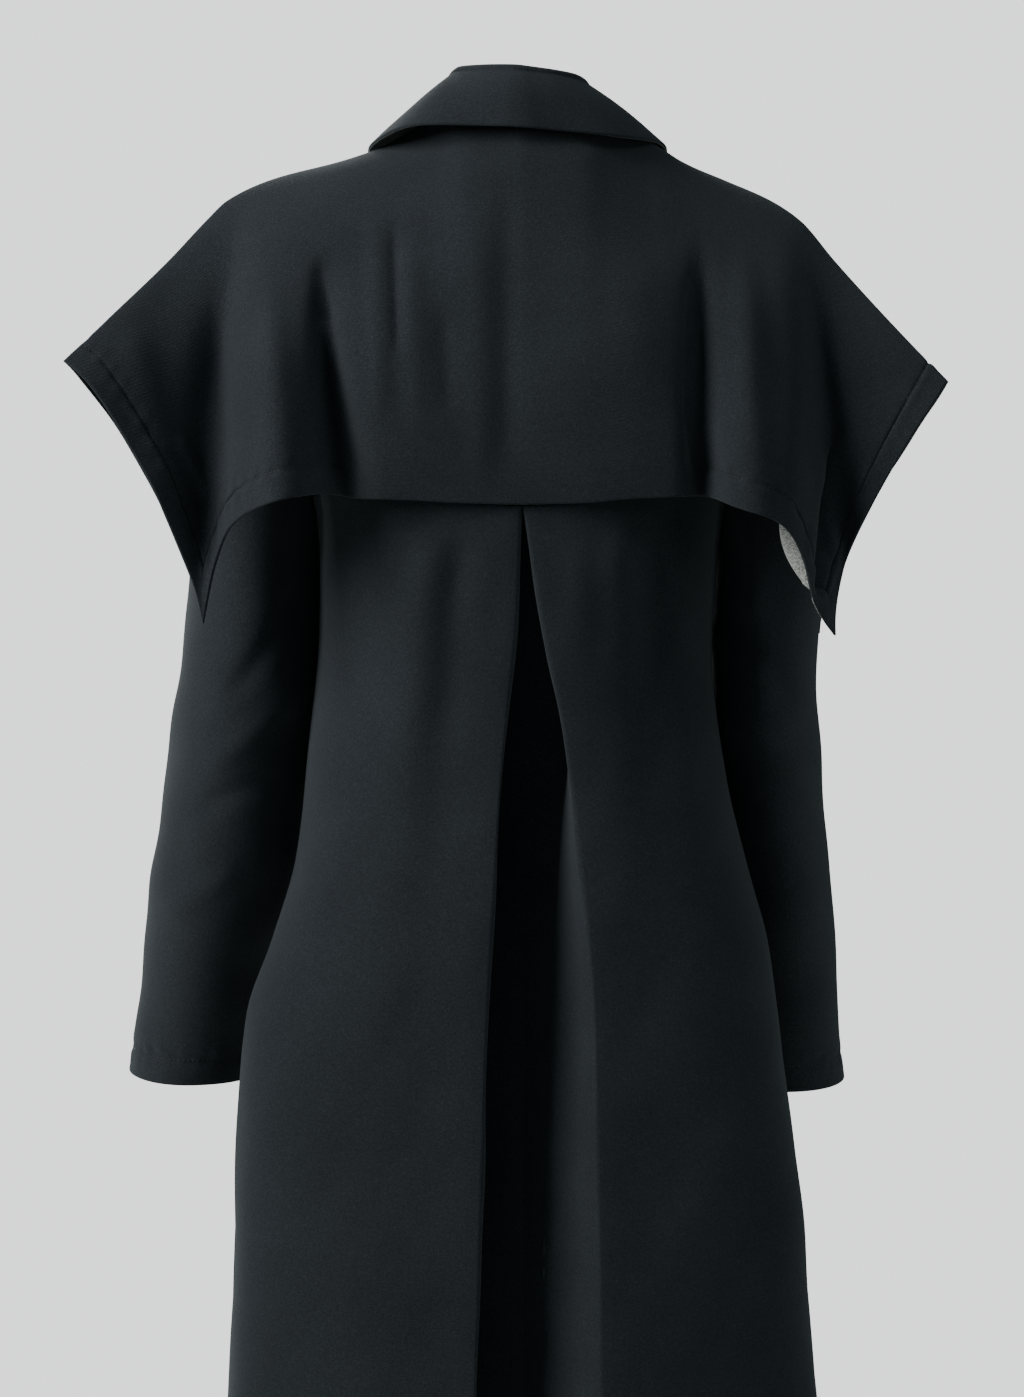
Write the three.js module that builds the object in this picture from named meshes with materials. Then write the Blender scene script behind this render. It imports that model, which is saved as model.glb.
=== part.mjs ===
// A long wool cape coat in its worn, hollow form: coat body, sleeves, cape and turned-down collar.
// Millimetres, +Z up. The front faces -Y, the back +Y and the wearer's left is +X.
// The origin is the middle of the neck opening at the height of the back neck seam.
import * as THREE from "three";

// Cloth and seams
const WALL = 2.4; // thickness of the wool cloth
const CAPE_LIFT = 1.7; // the cape's neck edge above the neck seam, behind
const CAPE_FRONT_LIFT = -0.3; // the same in front, where the neck seam is steep
const UNDER_DROP = 2.75; // the under layer's neck edge below the neck seam, behind
const UNDER_FRONT_DROP = 4.8; // the same in front
const HALF_SEAM = 0.2; // half of the gap left between two pieces at a seam
const SEAM_EASE = 0.55; // added to it where the overarm seam curves back off the shoulder
const LAP = 3.2; // how far the under front lies inside the upper front
const CLEAR = 0.35; // gap between a piece and what it lies on
const LAP_X = 30; // how far each front reaches past the centre front
const LAP_END = 198; // the angle on the neck seam that the lapped front reaches
const TUCK = { x: 56, width: 24, low: 90, high: 140 }; // where the under front sinks in

// Main heights
const HEM = -1150; // coat hem
const CHEST = -257; // armpit, and the ends of the yoke seam
const SEAM_SAG = 10; // how much lower the yoke seam is at the centre back

// Grid counts
const BODY_ROWS = 13;
const UPPER_ROWS = 8;
const PANEL_COLUMNS = 10;
const FRONT_COLUMNS = 13;
const SLEEVE_ROWS = 13;
const SLEEVE_COLUMNS = 20;
const CAPE_ROWS = 11;
const CAPE_BACK_COLUMNS = 43;
const CAPE_FRONT_COLUMNS = 18;
const COLLAR_COLUMNS = 33;
const HEAD_ROWS = 6; // rows of the sleeve head, from the armhole to the upper arm

const FELT = { color: 0x191c1d, roughness: 0.95, metalness: 0 };
const HORN = { color: 0x141313, roughness: 0.35, metalness: 0 };

// Rings of the coat body from the chest to the hem: half widths, depths behind and in front
const BODY = [
  { z: -257, left: 140, right: 137, back: 112, front: 114 },
  { z: -300, left: 136, right: 131, back: 109, front: 117 },
  { z: -365, left: 137, right: 127, back: 104, front: 117 },
  { z: -445, left: 145, right: 137, back: 102, front: 115 },
  { z: -505, left: 153, right: 151, back: 105, front: 115 },
  { z: -556, left: 168, right: 164, back: 109, front: 117 },
  { z: -610, left: 185, right: 172, back: 112, front: 119 },
  { z: -675, left: 190, right: 181, back: 115, front: 122 },
  { z: -783, left: 195, right: 192, back: 119, front: 128 },
  { z: -870, left: 197, right: 199, back: 122, front: 133 },
  { z: -1150, left: 211, right: 214, back: 130, front: 148 },
];
const BACK_SQUARENESS = 2.35;
const HEM_SQUARENESS = 3.8; // below the waist the back is flatter, with squarer sides
const HEM_RIDGE = 0.2; // and stands out along the centre, by this share of its depth
const FRONT_SQUARENESS = 2.05;

// The inverted box pleat: fold edges on each side, inner turn and floor, seen from above
const PLEAT = [
  { z: -257, left: 3, right: 3, turnLeft: 46, deepLeft: 6, turnRight: 47, deepRight: 6, floor: 8 },
  { z: -334, left: 6, right: 15, turnLeft: 44, deepLeft: 22, turnRight: 40, deepRight: 20, floor: 24 },
  { z: -405, left: 12, right: 28, turnLeft: 42, deepLeft: 36, turnRight: 34, deepRight: 30, floor: 38 },
  { z: -485, left: 18, right: 39, turnLeft: 40, deepLeft: 46, turnRight: 26, deepRight: 33, floor: 44 },
  { z: -604, left: 25, right: 49, turnLeft: 38, deepLeft: 50, turnRight: 19, deepRight: 34, floor: 47 },
  { z: -866, left: 33, right: 54, turnLeft: 39, deepLeft: 52, turnRight: 14, deepRight: 33, floor: 48 },
  { z: -1150, left: 40, right: 58, turnLeft: 42, deepLeft: 54, turnRight: 14, deepRight: 36, floor: 49 },
];
const TURN_RADIUS = 2;

// Neck seam by angle from the centre back to the centre front
const NECK = [
  { angle: 0, x: 0, y: 55, z: 0 },
  { angle: 45, x: 46, y: 39, z: -1 },
  { angle: 90, x: 65, y: 0, z: -5 },
  { angle: 135, x: 49, y: -49, z: -31 },
  { angle: 160, x: 25, y: -75, z: -60 },
  { angle: 180, x: 0, y: -84, z: -74 },
];

const NECK_SIDE = 65; // half width of the neck seam at the shoulders

// Under layer: shoulder tip, and how each column leaves the chest and arrives at the neck or shoulder
const SHOULDER_TIP = { x: 176, y: 0, z: -76 };
const TIP_LEAN = 18; // how far the outermost column leans in below the shoulder tip
const NECK_POINT = { x: 63, y: 0, z: -7.75 };
const BACK_PATHS = [
  { at: 0, riseY: 2, riseZ: 90, arriveY: 18, arriveZ: -50 },
  { at: 0.42, riseY: 3, riseZ: 95, arriveY: 30, arriveZ: -26 },
  { at: 0.75, riseY: 20, riseZ: 70, arriveY: 44, arriveZ: -26 },
  { at: 1, riseY: 72, riseZ: 18, arriveY: 54, arriveZ: -48 },
];
const FRONT_PATHS = [
  { at: 0, riseY: -68, riseZ: 18, arriveY: -54, arriveZ: -48 },
  { at: 0.25, riseY: -22, riseZ: 70, arriveY: -48, arriveZ: -26 },
  { at: 0.42, riseY: -8, riseZ: 90, arriveY: -34, arriveZ: -26 },
  { at: 0.75, riseY: -5, riseZ: 80, arriveY: -16, arriveZ: -40 },
  { at: 1, riseY: -5, riseZ: 70, arriveY: -10, arriveZ: -44 },
];

// Sleeves: centre line and half widths across and front to back, from the upper arm to the cuff
const SLEEVE_LEFT = [
  { z: -300, x: 181, y: -26, across: 42.6, deep: 72 },
  { z: -370, x: 185.2, y: -34, across: 46.6, deep: 70 },
  { z: -440, x: 193, y: -48, across: 49.5, deep: 66 },
  { z: -510, x: 204, y: -68, across: 50, deep: 60 },
  { z: -580, x: 218, y: -96, across: 45, deep: 55 },
  { z: -655, x: 229.5, y: -124, across: 43.5, deep: 51 },
];
const SLEEVE_RIGHT = [
  { z: -300, x: -170.4, y: -28, across: 36.9, deep: 72 },
  { z: -370, x: -164.8, y: -40, across: 36, deep: 71 },
  { z: -440, x: -169.8, y: -62, across: 36, deep: 67 },
  { z: -510, x: -177, y: -88, across: 35.5, deep: 61 },
  { z: -580, x: -181.5, y: -116, across: 37, deep: 55 },
  { z: -661, x: -184, y: -142, across: 42, deep: 51 },
];

// How the sleeve rings lean forward, and how the sleeve head leaves the armhole
const LEAN = { top: 0.1, elbow: 0.32, cuff: 0.15 };
const HEAD = { armpitX: 2, armpitZ: 8, tipX: 26, tipZ: 22, sideY: 8 };
const LEAD = 40; // length over which the head follows the sleeve's own direction

// Cape: each row is one column of cloth from the neck, shoulder or overarm seam down to the hem.
// A column starts on the shoulder and overarm seam at a distance from the centre plane, or on the
// neck seam at an angle; leave and arrive are control points of its curve, which ends at hem.
const OVERARM_LEFT = [
  { x: 65, y: 0, z: -3.3 },
  { x: 95, y: 0, z: -21 },
  { x: 120, y: 1, z: -30 },
  { x: 170.8, y: 6, z: -44 },
  { x: 199.3, y: 14, z: -58.2 },
  { x: 212.8, y: 24, z: -72.4 },
  { x: 237.3, y: 46, z: -101.4 },
  { x: 277.3, y: 82, z: -144.2 },
  { x: 303, y: 106, z: -172 },
];
const OVERARM_RIGHT = [
  { x: 65, y: 0, z: -3.3 },
  { x: 90, y: 0, z: -20 },
  { x: 105, y: 0, z: -30 },
  { x: 136.9, y: 2, z: -43.7 },
  { x: 167.7, y: 6, z: -57.5 },
  { x: 188.3, y: 14, z: -72.1 },
  { x: 210.4, y: 30, z: -100.2 },
  { x: 245.3, y: 58, z: -142.2 },
  { x: 283, y: 84, z: -184.5 },
];
const CAPE_BACK = [
  { seam: 303, leave: [269, 122, -200], arrive: [231, 104, -277], hem: [212, 88, -345] },
  { seam: 271, leave: [258, 100, -158], arrive: [221, 98, -256], hem: [208, 92, -328] },
  { seam: 242, leave: [237, 76, -128], arrive: [210, 94, -222], hem: [202, 98, -302] },
  { seam: 216, leave: [214, 56, -99], arrive: [202, 96, -200], hem: [194, 106, -284] },
  { seam: 194, leave: [194, 44, -68], arrive: [186, 112, -180], hem: [177, 118, -271] },
  { seam: 160, leave: [160, 46, -46], arrive: [156, 124, -160], hem: [151, 125, -263] },
  { seam: 124, leave: [126, 50, -36], arrive: [131, 119, -155], hem: [130, 112, -260] },
  { seam: 95, leave: [98, 50, -28], arrive: [104, 120, -155], hem: [104, 115, -263] },
  { seam: 65, neck: 90, leave: [70, 46, -14], arrive: [74, 122, -155], hem: [74, 115, -264] },
  { neck: 40, leave: [38, 74, -26], arrive: [40, 124, -155], hem: [40, 116, -266] },
  { neck: 0, leave: [0, 86, -40], arrive: [0, 124, -155], hem: [0, 116, -267] },
  { neck: -40, leave: [-38, 74, -26], arrive: [-40, 124, -155], hem: [-40, 116, -266] },
  { seam: -65, neck: -90, leave: [-70, 46, -14], arrive: [-74, 122, -155], hem: [-74, 115, -263] },
  { seam: -90, leave: [-93, 50, -27], arrive: [-100, 120, -155], hem: [-100, 115, -262] },
  { seam: -110, leave: [-113, 50, -36], arrive: [-119, 120, -155], hem: [-119, 114, -261] },
  { seam: -145, leave: [-146, 48, -52], arrive: [-148, 126, -170], hem: [-143, 128, -270] },
  { seam: -180, leave: [-178, 46, -74], arrive: [-172, 122, -190], hem: [-169, 126, -281] },
  { seam: -204, leave: [-202, 52, -106], arrive: [-187, 112, -213], hem: [-184, 114, -303] },
  { seam: -230, leave: [-224, 66, -138], arrive: [-200, 104, -238], hem: [-192, 104, -330] },
  { seam: -257, leave: [-245, 88, -177], arrive: [-207, 98, -271], hem: [-200, 96, -344] },
  { seam: -283, leave: [-256, 104, -227], arrive: [-203, 96, -301], hem: [-207, 88, -353] },
];
const CAPE_FRONT_LEFT = [
  { seam: 303, leave: [276, 56, -196], arrive: [236, -50, -276], hem: [214, -96, -343] },
  { seam: 271, leave: [261, 30, -156], arrive: [223, -94, -254], hem: [204, -118, -324] },
  { seam: 242, leave: [239, 2, -123], arrive: [211, -122, -225], hem: [192, -136, -304] },
  { seam: 194, leave: [193, -36, -67], arrive: [178, -138, -190], hem: [164, -148, -288] },
  { seam: 124, leave: [126, -56, -38], arrive: [126, -146, -170], hem: [118, -140, -276] },
  { seam: 95, leave: [100, -56, -32], arrive: [104, -146, -168], hem: [100, -144, -273] },
  { seam: 65, neck: 90, leave: [74, -60, -22], arrive: [80, -146, -165], hem: [80, -150, -270] },
  { neck: 130, leave: [52, -88, -62], arrive: [58, -142, -170], hem: [56, -143, -266] },
  { neck: 164, leave: [24, -104, -92], arrive: [34, -138, -180], hem: [34, -146, -263] },
];
const CAPE_FRONT_RIGHT = [
  { seam: -283, leave: [-262, 40, -222], arrive: [-207, -56, -299], hem: [-206, -96, -350] },
  { seam: -257, leave: [-248, 14, -175], arrive: [-206, -96, -268], hem: [-196, -116, -330] },
  { seam: -230, leave: [-226, -14, -141], arrive: [-201, -124, -232], hem: [-188, -136, -308] },
  { seam: -180, leave: [-178, -42, -75], arrive: [-168, -138, -192], hem: [-160, -148, -288] },
  { seam: -110, leave: [-114, -56, -38], arrive: [-122, -146, -170], hem: [-117, -140, -276] },
  { seam: -90, leave: [-96, -56, -32], arrive: [-102, -146, -168], hem: [-98, -144, -273] },
  { seam: -65, neck: -90, leave: [-74, -60, -22], arrive: [-80, -146, -165], hem: [-80, -150, -270] },
  { neck: -130, leave: [-52, -88, -62], arrive: [-58, -142, -170], hem: [-56, -143, -266] },
  { neck: -164, leave: [-24, -104, -92], arrive: [-34, -138, -180], hem: [-34, -146, -263] },
];

// Folds of the cape: a soft ridge (height over zero) or trough along a line in the X-Z plane
const CAPE_FOLDS = [
  { fromX: 194, fromZ: -62, toX: 212, toZ: -270, width: 19, height: -12 },
  { fromX: 172, fromZ: -90, toX: 160, toZ: -262, width: 17, height: 13 },
  { fromX: 140, fromZ: -104, toX: 116, toZ: -256, width: 13, height: -15 },
  { fromX: -118, fromZ: -76, toX: -121, toZ: -255, width: 12, height: -12 },
  { fromX: -147, fromZ: -70, toX: -154, toZ: -264, width: 14, height: 9 },
  { fromX: -190, fromZ: -66, toX: -214, toZ: -290, width: 15, height: -11 },
];

// Gathers below the yoke seam: place along the seam, how far it spreads and fades, height
const GATHERS = [
  { x: 128, spread: 1.25, width: 12, height: 4, fade: 300 },
  { x: 104, spread: 1.25, width: 14, height: -3, fade: 360 },
  { x: 61, spread: 1.55, width: 11, height: 5, fade: 380 },
  { x: 40, spread: 1.6, width: 9, height: -4, fade: 330 },
  { x: -36, spread: 1.4, width: 10, height: 2.5, fade: 300 },
  { x: -62, spread: 1.3, width: 11, height: 4, fade: 380 },
  { x: -86, spread: 0.95, width: 11, height: -4.5, fade: 380 },
  { x: -110, spread: 1.08, width: 12, height: 5, fade: 420 },
];

// Collar sections by angle: the stand's top, the fall's edge and how far the fall bulges
const COLLAR = [
  { angle: 0, standOut: 1, standUp: 25.5, edgeOut: 26, edgeUp: -14, bulge: 3 },
  { angle: 45, standOut: -13, standUp: 25, edgeOut: 31, edgeUp: -14, bulge: 2.5 },
  { angle: 90, standOut: -22, standUp: 19, edgeOut: 36, edgeUp: -16.2, bulge: 2 },
  { angle: 125, standOut: -8, standUp: 15, edgeOut: 48, edgeUp: -18, bulge: 3 },
  { angle: 150, standOut: -4, standUp: 12, edgeOut: 52, edgeUp: -36, bulge: 4 },
  { angle: 173, standOut: 0, standUp: 9, edgeOut: 46, edgeUp: -70, bulge: 6 },
];
const COLLAR_TILT = 0.06; // behind, the fall sits a little lower on the right side
const COLLAR_SHIFT = 3; // and a little towards the left
const ROLL_RADIUS = 3.2;
const STAND_LIFT = 3.4; // the stand's lower edge above the neck seam

const BUTTONS = [
  { name: "button_1", z: -345 },
  { name: "button_2", z: -465 },
  { name: "button_3", z: -585 },
  { name: "button_4", z: -705 },
];
const BUTTON_RADIUS = 14;
const BUTTON_DEPTH = 4.2;
const BUTTON_RIM = 2.6;

const clamp = (t) => Math.min(1, Math.max(0, t));
const smooth = (t) => clamp(t) * clamp(t) * (3 - 2 * clamp(t));
const mix = (a, b, t) => a + (b - a) * t;
const steps = (count) => Array.from({ length: count }, (_, i) => i / (count - 1));
const place = (p) => new THREE.Vector3(p.x, p.y, p.z);

// Smooth curve through a table's rows that never swings past them: the value of one column where
// the key column is at "where".
function look(table, key, column, where) {
  const up = table[0][key] < table[table.length - 1][key];
  const rows = up ? table : [...table].reverse();
  const at = Math.min(Math.max(where, rows[0][key]), rows[rows.length - 1][key]);
  let i = 0;
  while (i < rows.length - 2 && rows[i + 1][key] < at) i += 1;
  const rise = (k) => (rows[k + 1][column] - rows[k][column]) / (rows[k + 1][key] - rows[k][key]);
  const slope = (k) => {
    if (k === 0) return rise(0);
    if (k === rows.length - 1) return rise(k - 1);
    const [a, b] = [rise(k - 1), rise(k)];
    return a * b <= 0 ? 0 : (2 * a * b) / (a + b);
  };
  const span = rows[i + 1][key] - rows[i][key];
  const t = (at - rows[i][key]) / span;
  const t2 = t * t;
  const t3 = t2 * t;
  return (
    (2 * t3 - 3 * t2 + 1) * rows[i][column] +
    (t3 - 2 * t2 + t) * span * slope(i) +
    (3 * t2 - 2 * t3) * rows[i + 1][column] +
    (t3 - t2) * span * slope(i + 1)
  );
}

// Closed solid from a grid of points in the middle of the cloth, with half the wall on each side.
// drop names, for each edge, the axis that the cloth's direction there must not lean along.
function clothSolid(grid, { closed = false, drop = {}, wall = WALL } = {}) {
  const rows = grid.length;
  const columns = grid[0].length;
  const column = (j) => (closed ? (j + columns) % columns : Math.min(Math.max(j, 0), columns - 1));
  const row = (i) => Math.min(Math.max(i, 0), rows - 1);
  const across = new THREE.Vector3();
  const down = new THREE.Vector3();
  const outer = [];
  const inner = [];
  const straighten = (normal, axis) => {
    if (axis) normal[axis] = 0;
    return normal.normalize();
  };
  grid.forEach((line, i) =>
    line.forEach((point, j) => {
      across.subVectors(grid[i][column(j + 1)], grid[i][column(j - 1)]);
      down.subVectors(grid[row(i + 1)][j], grid[row(i - 1)][j]);
      const normal = new THREE.Vector3().crossVectors(across, down).normalize();
      if (i === 0) straighten(normal, drop.first);
      if (i === rows - 1) straighten(normal, drop.last);
      if (!closed && j === 0) straighten(normal, drop.start);
      if (!closed && j === columns - 1) straighten(normal, drop.end);
      outer.push(point.clone().addScaledVector(normal, wall / 2));
      inner.push(point.clone().addScaledVector(normal, -wall / 2));
    }),
  );
  const points = [...outer, ...inner];
  const under = outer.length;
  const index = [];
  const quad = (a, b, c, d) => index.push(a, b, c, a, c, d);
  const at = (i, j) => i * columns + column(j);
  const last = closed ? columns : columns - 1;
  for (let i = 0; i < rows - 1; i += 1) {
    for (let j = 0; j < last; j += 1) {
      const [a, b, c, d] = [at(i, j), at(i, j + 1), at(i + 1, j + 1), at(i + 1, j)];
      quad(a, b, c, d);
      quad(under + a, under + d, under + c, under + b);
    }
  }
  for (let j = 0; j < last; j += 1) {
    const [a, b, c, d] = [at(0, j), at(0, j + 1), at(rows - 1, j), at(rows - 1, j + 1)];
    quad(a, under + a, under + b, b);
    quad(c, d, under + d, under + c);
  }
  if (!closed) {
    for (let i = 0; i < rows - 1; i += 1) {
      const [a, b, c, d] = [at(i, 0), at(i + 1, 0), at(i, columns - 1), at(i + 1, columns - 1)];
      quad(a, b, under + b, under + a);
      quad(c, under + c, under + d, d);
    }
  }
  let volume = 0;
  for (let k = 0; k < index.length; k += 3) {
    const [a, b, c] = [points[index[k]], points[index[k + 1]], points[index[k + 2]]];
    volume += a.dot(new THREE.Vector3().crossVectors(b, c));
  }
  if (volume < 0) {
    for (let k = 0; k < index.length; k += 3) {
      [index[k + 1], index[k + 2]] = [index[k + 2], index[k + 1]];
    }
  }
  const geometry = new THREE.BufferGeometry();
  geometry.setAttribute(
    "position",
    new THREE.Float32BufferAttribute(points.flatMap((p) => [p.x, p.y, p.z]), 3),
  );
  geometry.setIndex(index);
  geometry.computeVertexNormals();
  return geometry;
}

const coat = new THREE.Group();
coat.name = "wool_cape_coat";

function addPiece(name, geometry, finish) {
  const mesh = new THREE.Mesh(geometry, new THREE.MeshStandardMaterial(finish));
  mesh.name = name;
  coat.add(mesh);
}

const power = (value, exponent) => Math.sign(value) * Math.abs(value) ** exponent;

// Point of the body ring at a height; the angle runs from centre back over the left side.
const lowness = (z) => smooth((-430 - z) / 240);
const backSquareness = (z) => mix(BACK_SQUARENESS, HEM_SQUARENESS, lowness(z));

function ringPoint(z, angle) {
  const side = Math.sin(angle);
  const ahead = Math.cos(angle);
  const behind = ahead >= 0;
  const exponent = 2 / (behind ? backSquareness(z) : FRONT_SQUARENESS);
  const half = look(BODY, "z", side >= 0 ? "left" : "right", z);
  const depth = look(BODY, "z", behind ? "back" : "front", z);
  const x = half * power(side, exponent);
  const ridge = behind ? 1 - HEM_RIDGE * lowness(z) * Math.abs(x / half) : 1;
  return new THREE.Vector3(x, depth * power(ahead, exponent) * ridge, z);
}

// Angle at which the ring reaches a distance x from the centre plane, on the left side.
function ringAngle(z, x, column, squareness) {
  const half = look(BODY, "z", column, z);
  return Math.asin(clamp(x / half) ** (squareness / 2));
}

function gather(x, z) {
  let sum = 0;
  for (const fold of GATHERS) {
    const drop = CHEST - SEAM_SAG - z;
    const grow = clamp(drop / fold.fade);
    const centre = fold.x * mix(1, fold.spread, grow);
    const reach = (x - centre) / (fold.width * mix(1, 2.4, grow));
    const fade = smooth(drop / 40) * mix(1, 0.12, smooth(drop / fold.fade));
    sum += fold.height * Math.exp(-reach * reach) * fade;
  }
  return sum;
}

// Half of the pleat's section seen from above: round the fold edge, back to the inner turn, then in
// to the floor. x is measured from the centre and y is depth into the coat.
function pleatSection(z, side) {
  const edge = look(PLEAT, "z", side === "Left" ? "left" : "right", z);
  const radius = TURN_RADIUS;
  const first = { x: edge, y: -radius };
  const second = {
    x: look(PLEAT, "z", "turn" + side, z),
    y: -look(PLEAT, "z", "deep" + side, z),
  };
  const floor = { x: 0, y: -look(PLEAT, "z", "floor", z) };
  const run = Math.hypot(second.x - first.x, second.y - first.y);
  const lean = Math.asin(Math.min(1, (2 * radius) / run));
  const heading = Math.atan2(second.y - first.y, second.x - first.x) + lean;
  const home = Math.hypot(floor.x - second.x, floor.y - second.y);
  let leaving = Math.atan2(floor.y - second.y, floor.x - second.x) - Math.asin(radius / home);
  if (leaving > 0) leaving -= 2 * Math.PI;
  const points = [];
  for (const t of steps(4)) {
    const turned = mix(-Math.PI, heading, t);
    points.push({
      x: first.x + radius * Math.sin(turned),
      y: first.y - radius * Math.cos(turned),
    });
  }
  for (const t of steps(4)) {
    const turned = mix(heading, leaving, t);
    points.push({
      x: second.x - radius * Math.sin(turned),
      y: second.y + radius * Math.cos(turned),
    });
  }
  points.push({ x: mix(points[7].x, floor.x, 0.5), y: mix(points[7].y, floor.y, 0.5) });
  return { edge, points };
}

// Height of the yoke seam at a distance x from the centre plane.
const seamHeight = (x) => CHEST - SEAM_SAG * (1 - smooth(Math.abs(x) / 130));

function backLowerRow(z, top) {
  const lower = (x) => z + (seamHeight(x) - CHEST) * top;
  const half = (sign, side) => {
    const { edge, points } = pleatSection(z, side);
    const reach = edge + TURN_RADIUS;
    const end = ringAngle(z, reach, side.toLowerCase(), backSquareness(z));
    const base = ringPoint(z, sign * end);
    const line = [];
    for (const t of steps(PANEL_COLUMNS)) {
      const point = ringPoint(z, sign * mix(Math.PI / 2, end, t ** 0.85));
      point.y = Math.max(point.y, 0) + gather(point.x, z);
      point.z = lower(point.x) - HALF_SEAM * top;
      if (t === 0) point.y = HALF_SEAM;
      line.push(point);
    }
    line.pop();
    const lift = gather(base.x, z);
    for (const p of points) {
      const y = base.y + lift + p.y;
      line.push(new THREE.Vector3(sign * p.x, y, lower(0) - HALF_SEAM * top));
    }
    return { line, base: base.y + lift };
  };
  const left = half(1, "Left");
  const right = half(-1, "Right");
  const floor = look(PLEAT, "z", "floor", z);
  const middle = new THREE.Vector3(0, mix(left.base, right.base, 0.5) - floor, lower(0));
  middle.z -= HALF_SEAM * top;
  return [...left.line, middle, ...right.line.reverse()];
}

function backLower() {
  const grid = steps(BODY_ROWS).map((t) => {
    const z = mix(CHEST, HEM, t ** 1.15);
    return backLowerRow(z, 1 - smooth((CHEST - z) / 200));
  });
  return clothSolid(grid, { drop: { first: "z", start: "y", end: "y" } });
}

const bezier = (a, b, c, d, t) => {
  const s = 1 - t;
  return new THREE.Vector3()
    .addScaledVector(a, s * s * s)
    .addScaledVector(b, 3 * s * s * t)
    .addScaledVector(c, 3 * s * t * t)
    .addScaledVector(d, t * t * t);
};

function neckPoint(degrees) {
  const angle = Math.abs(degrees) > 180 ? 360 - Math.abs(degrees) : Math.abs(degrees);
  const side = Math.sign(degrees) * (Math.abs(degrees) > 180 ? -1 : 1);
  return new THREE.Vector3(
    side * look(NECK, "angle", "x", angle),
    look(NECK, "angle", "y", angle),
    look(NECK, "angle", "z", angle),
  );
}

// How far a place on the neck seam is round to the steep front, from 0 to 1.
const frontNeck = (degrees) => smooth((Math.abs(degrees) - 85) / 50);

// Neck edge of the under layer, just inside and below the cape's.
function underNeck(degrees) {
  const point = neckPoint(degrees);
  point.x *= NECK_POINT.x / NECK_SIDE;
  point.y *= NECK_POINT.x / NECK_SIDE;
  point.z -= mix(UNDER_DROP, UNDER_FRONT_DROP, frontNeck(degrees));
  return point;
}

// Column of the under layer from the chest ring to the neck or the shoulder seam.
function upperColumn(start, end, paths, at, shift) {
  const path = (column) => look(paths, "at", column, at);
  const leave = start.clone().add(new THREE.Vector3(0, path("riseY"), path("riseZ")));
  const arrive = end.clone().add(new THREE.Vector3(shift, path("arriveY"), path("arriveZ")));
  return (t) => bezier(start, leave, arrive, end, t);
}

const NECK_SHARE = 0.42; // share of the under layer's width that ends on the neck

function backUpper() {
  const side = (sign) => (share) => {
    const angle = sign * mix(0, Math.PI / 2, share);
    const start = ringPoint(CHEST, angle);
    start.z = seamHeight(start.x) + HALF_SEAM;
    start.y = Math.max(start.y - WALL / 2 - CLEAR, HALF_SEAM);
    let end;
    if (share <= NECK_SHARE) {
      end = underNeck(sign * 90 * (share / NECK_SHARE));
    } else {
      const t = (share - NECK_SHARE) / (1 - NECK_SHARE);
      end = place({
        x: sign * mix(NECK_POINT.x, SHOULDER_TIP.x, t),
        y: 0,
        z: mix(NECK_POINT.z, SHOULDER_TIP.z, t),
      });
    }
    end.y = Math.max(end.y, HALF_SEAM);
    return upperColumn(start, end, BACK_PATHS, share, -TIP_LEAN * sign * share ** 4);
  };
  const shares = [1, 0.9, 0.79, 0.67, 0.54, NECK_SHARE, 0.28, 0.14];
  const columns = [
    ...shares.map(side(1)),
    side(1)(0),
    ...[...shares].reverse().map(side(-1)),
  ];
  const grid = steps(UPPER_ROWS).map((t) => columns.map((curve) => curve(1 - t)));
  return clothSolid(grid, { drop: { first: "y", last: "z" } });
}

// Front panel from the hem to the shoulder: sign is +1 for the left side.
function front(sign, upper) {
  const tuck = (point) => {
    if (upper) return point;
    const share = smooth((TUCK.x - sign * point.x) / TUCK.width);
    const height = point.z - CHEST;
    point.y += LAP * share * (1 + 0.5 * smooth(height / TUCK.low));
    point.z -= LAP * share * smooth(height / TUCK.high);
    return point;
  };
  const ringAt = (z, share) => {
    const past = ringAngle(z, LAP_X, sign > 0 ? "right" : "left", FRONT_SQUARENESS);
    const angle = mix(Math.PI / 2, Math.PI + past, share ** 0.95);
    const point = ringPoint(z, sign * angle);
    point.y = Math.min(point.y, -HALF_SEAM);
    return point;
  };
  const shares = steps(FRONT_COLUMNS);
  const columns = shares.map((share) => {
    const start = ringAt(CHEST, share);
    let end;
    if (share >= NECK_SHARE) {
      const t = (share - NECK_SHARE) / (1 - NECK_SHARE);
      end = underNeck(sign * mix(90, LAP_END, t));
    } else {
      const t = share / NECK_SHARE;
      end = place({
        x: sign * mix(SHOULDER_TIP.x, NECK_POINT.x, t),
        y: 0,
        z: mix(SHOULDER_TIP.z, NECK_POINT.z, t),
      });
    }
    end.y = Math.min(end.y, -HALF_SEAM);
    return upperColumn(start, end, FRONT_PATHS, share, -TIP_LEAN * sign * (1 - share) ** 4);
  });
  const upperPart = steps(UPPER_ROWS).map((t) => columns.map((curve) => tuck(curve(1 - t))));
  const lowerPart = steps(BODY_ROWS).slice(1).map((t) => {
    const z = mix(CHEST, HEM, t ** 1.1);
    return shares.map((share) => tuck(ringAt(z, share)));
  });
  return clothSolid([...upperPart, ...lowerPart], { drop: { first: "y", start: "y" } });
}

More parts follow.
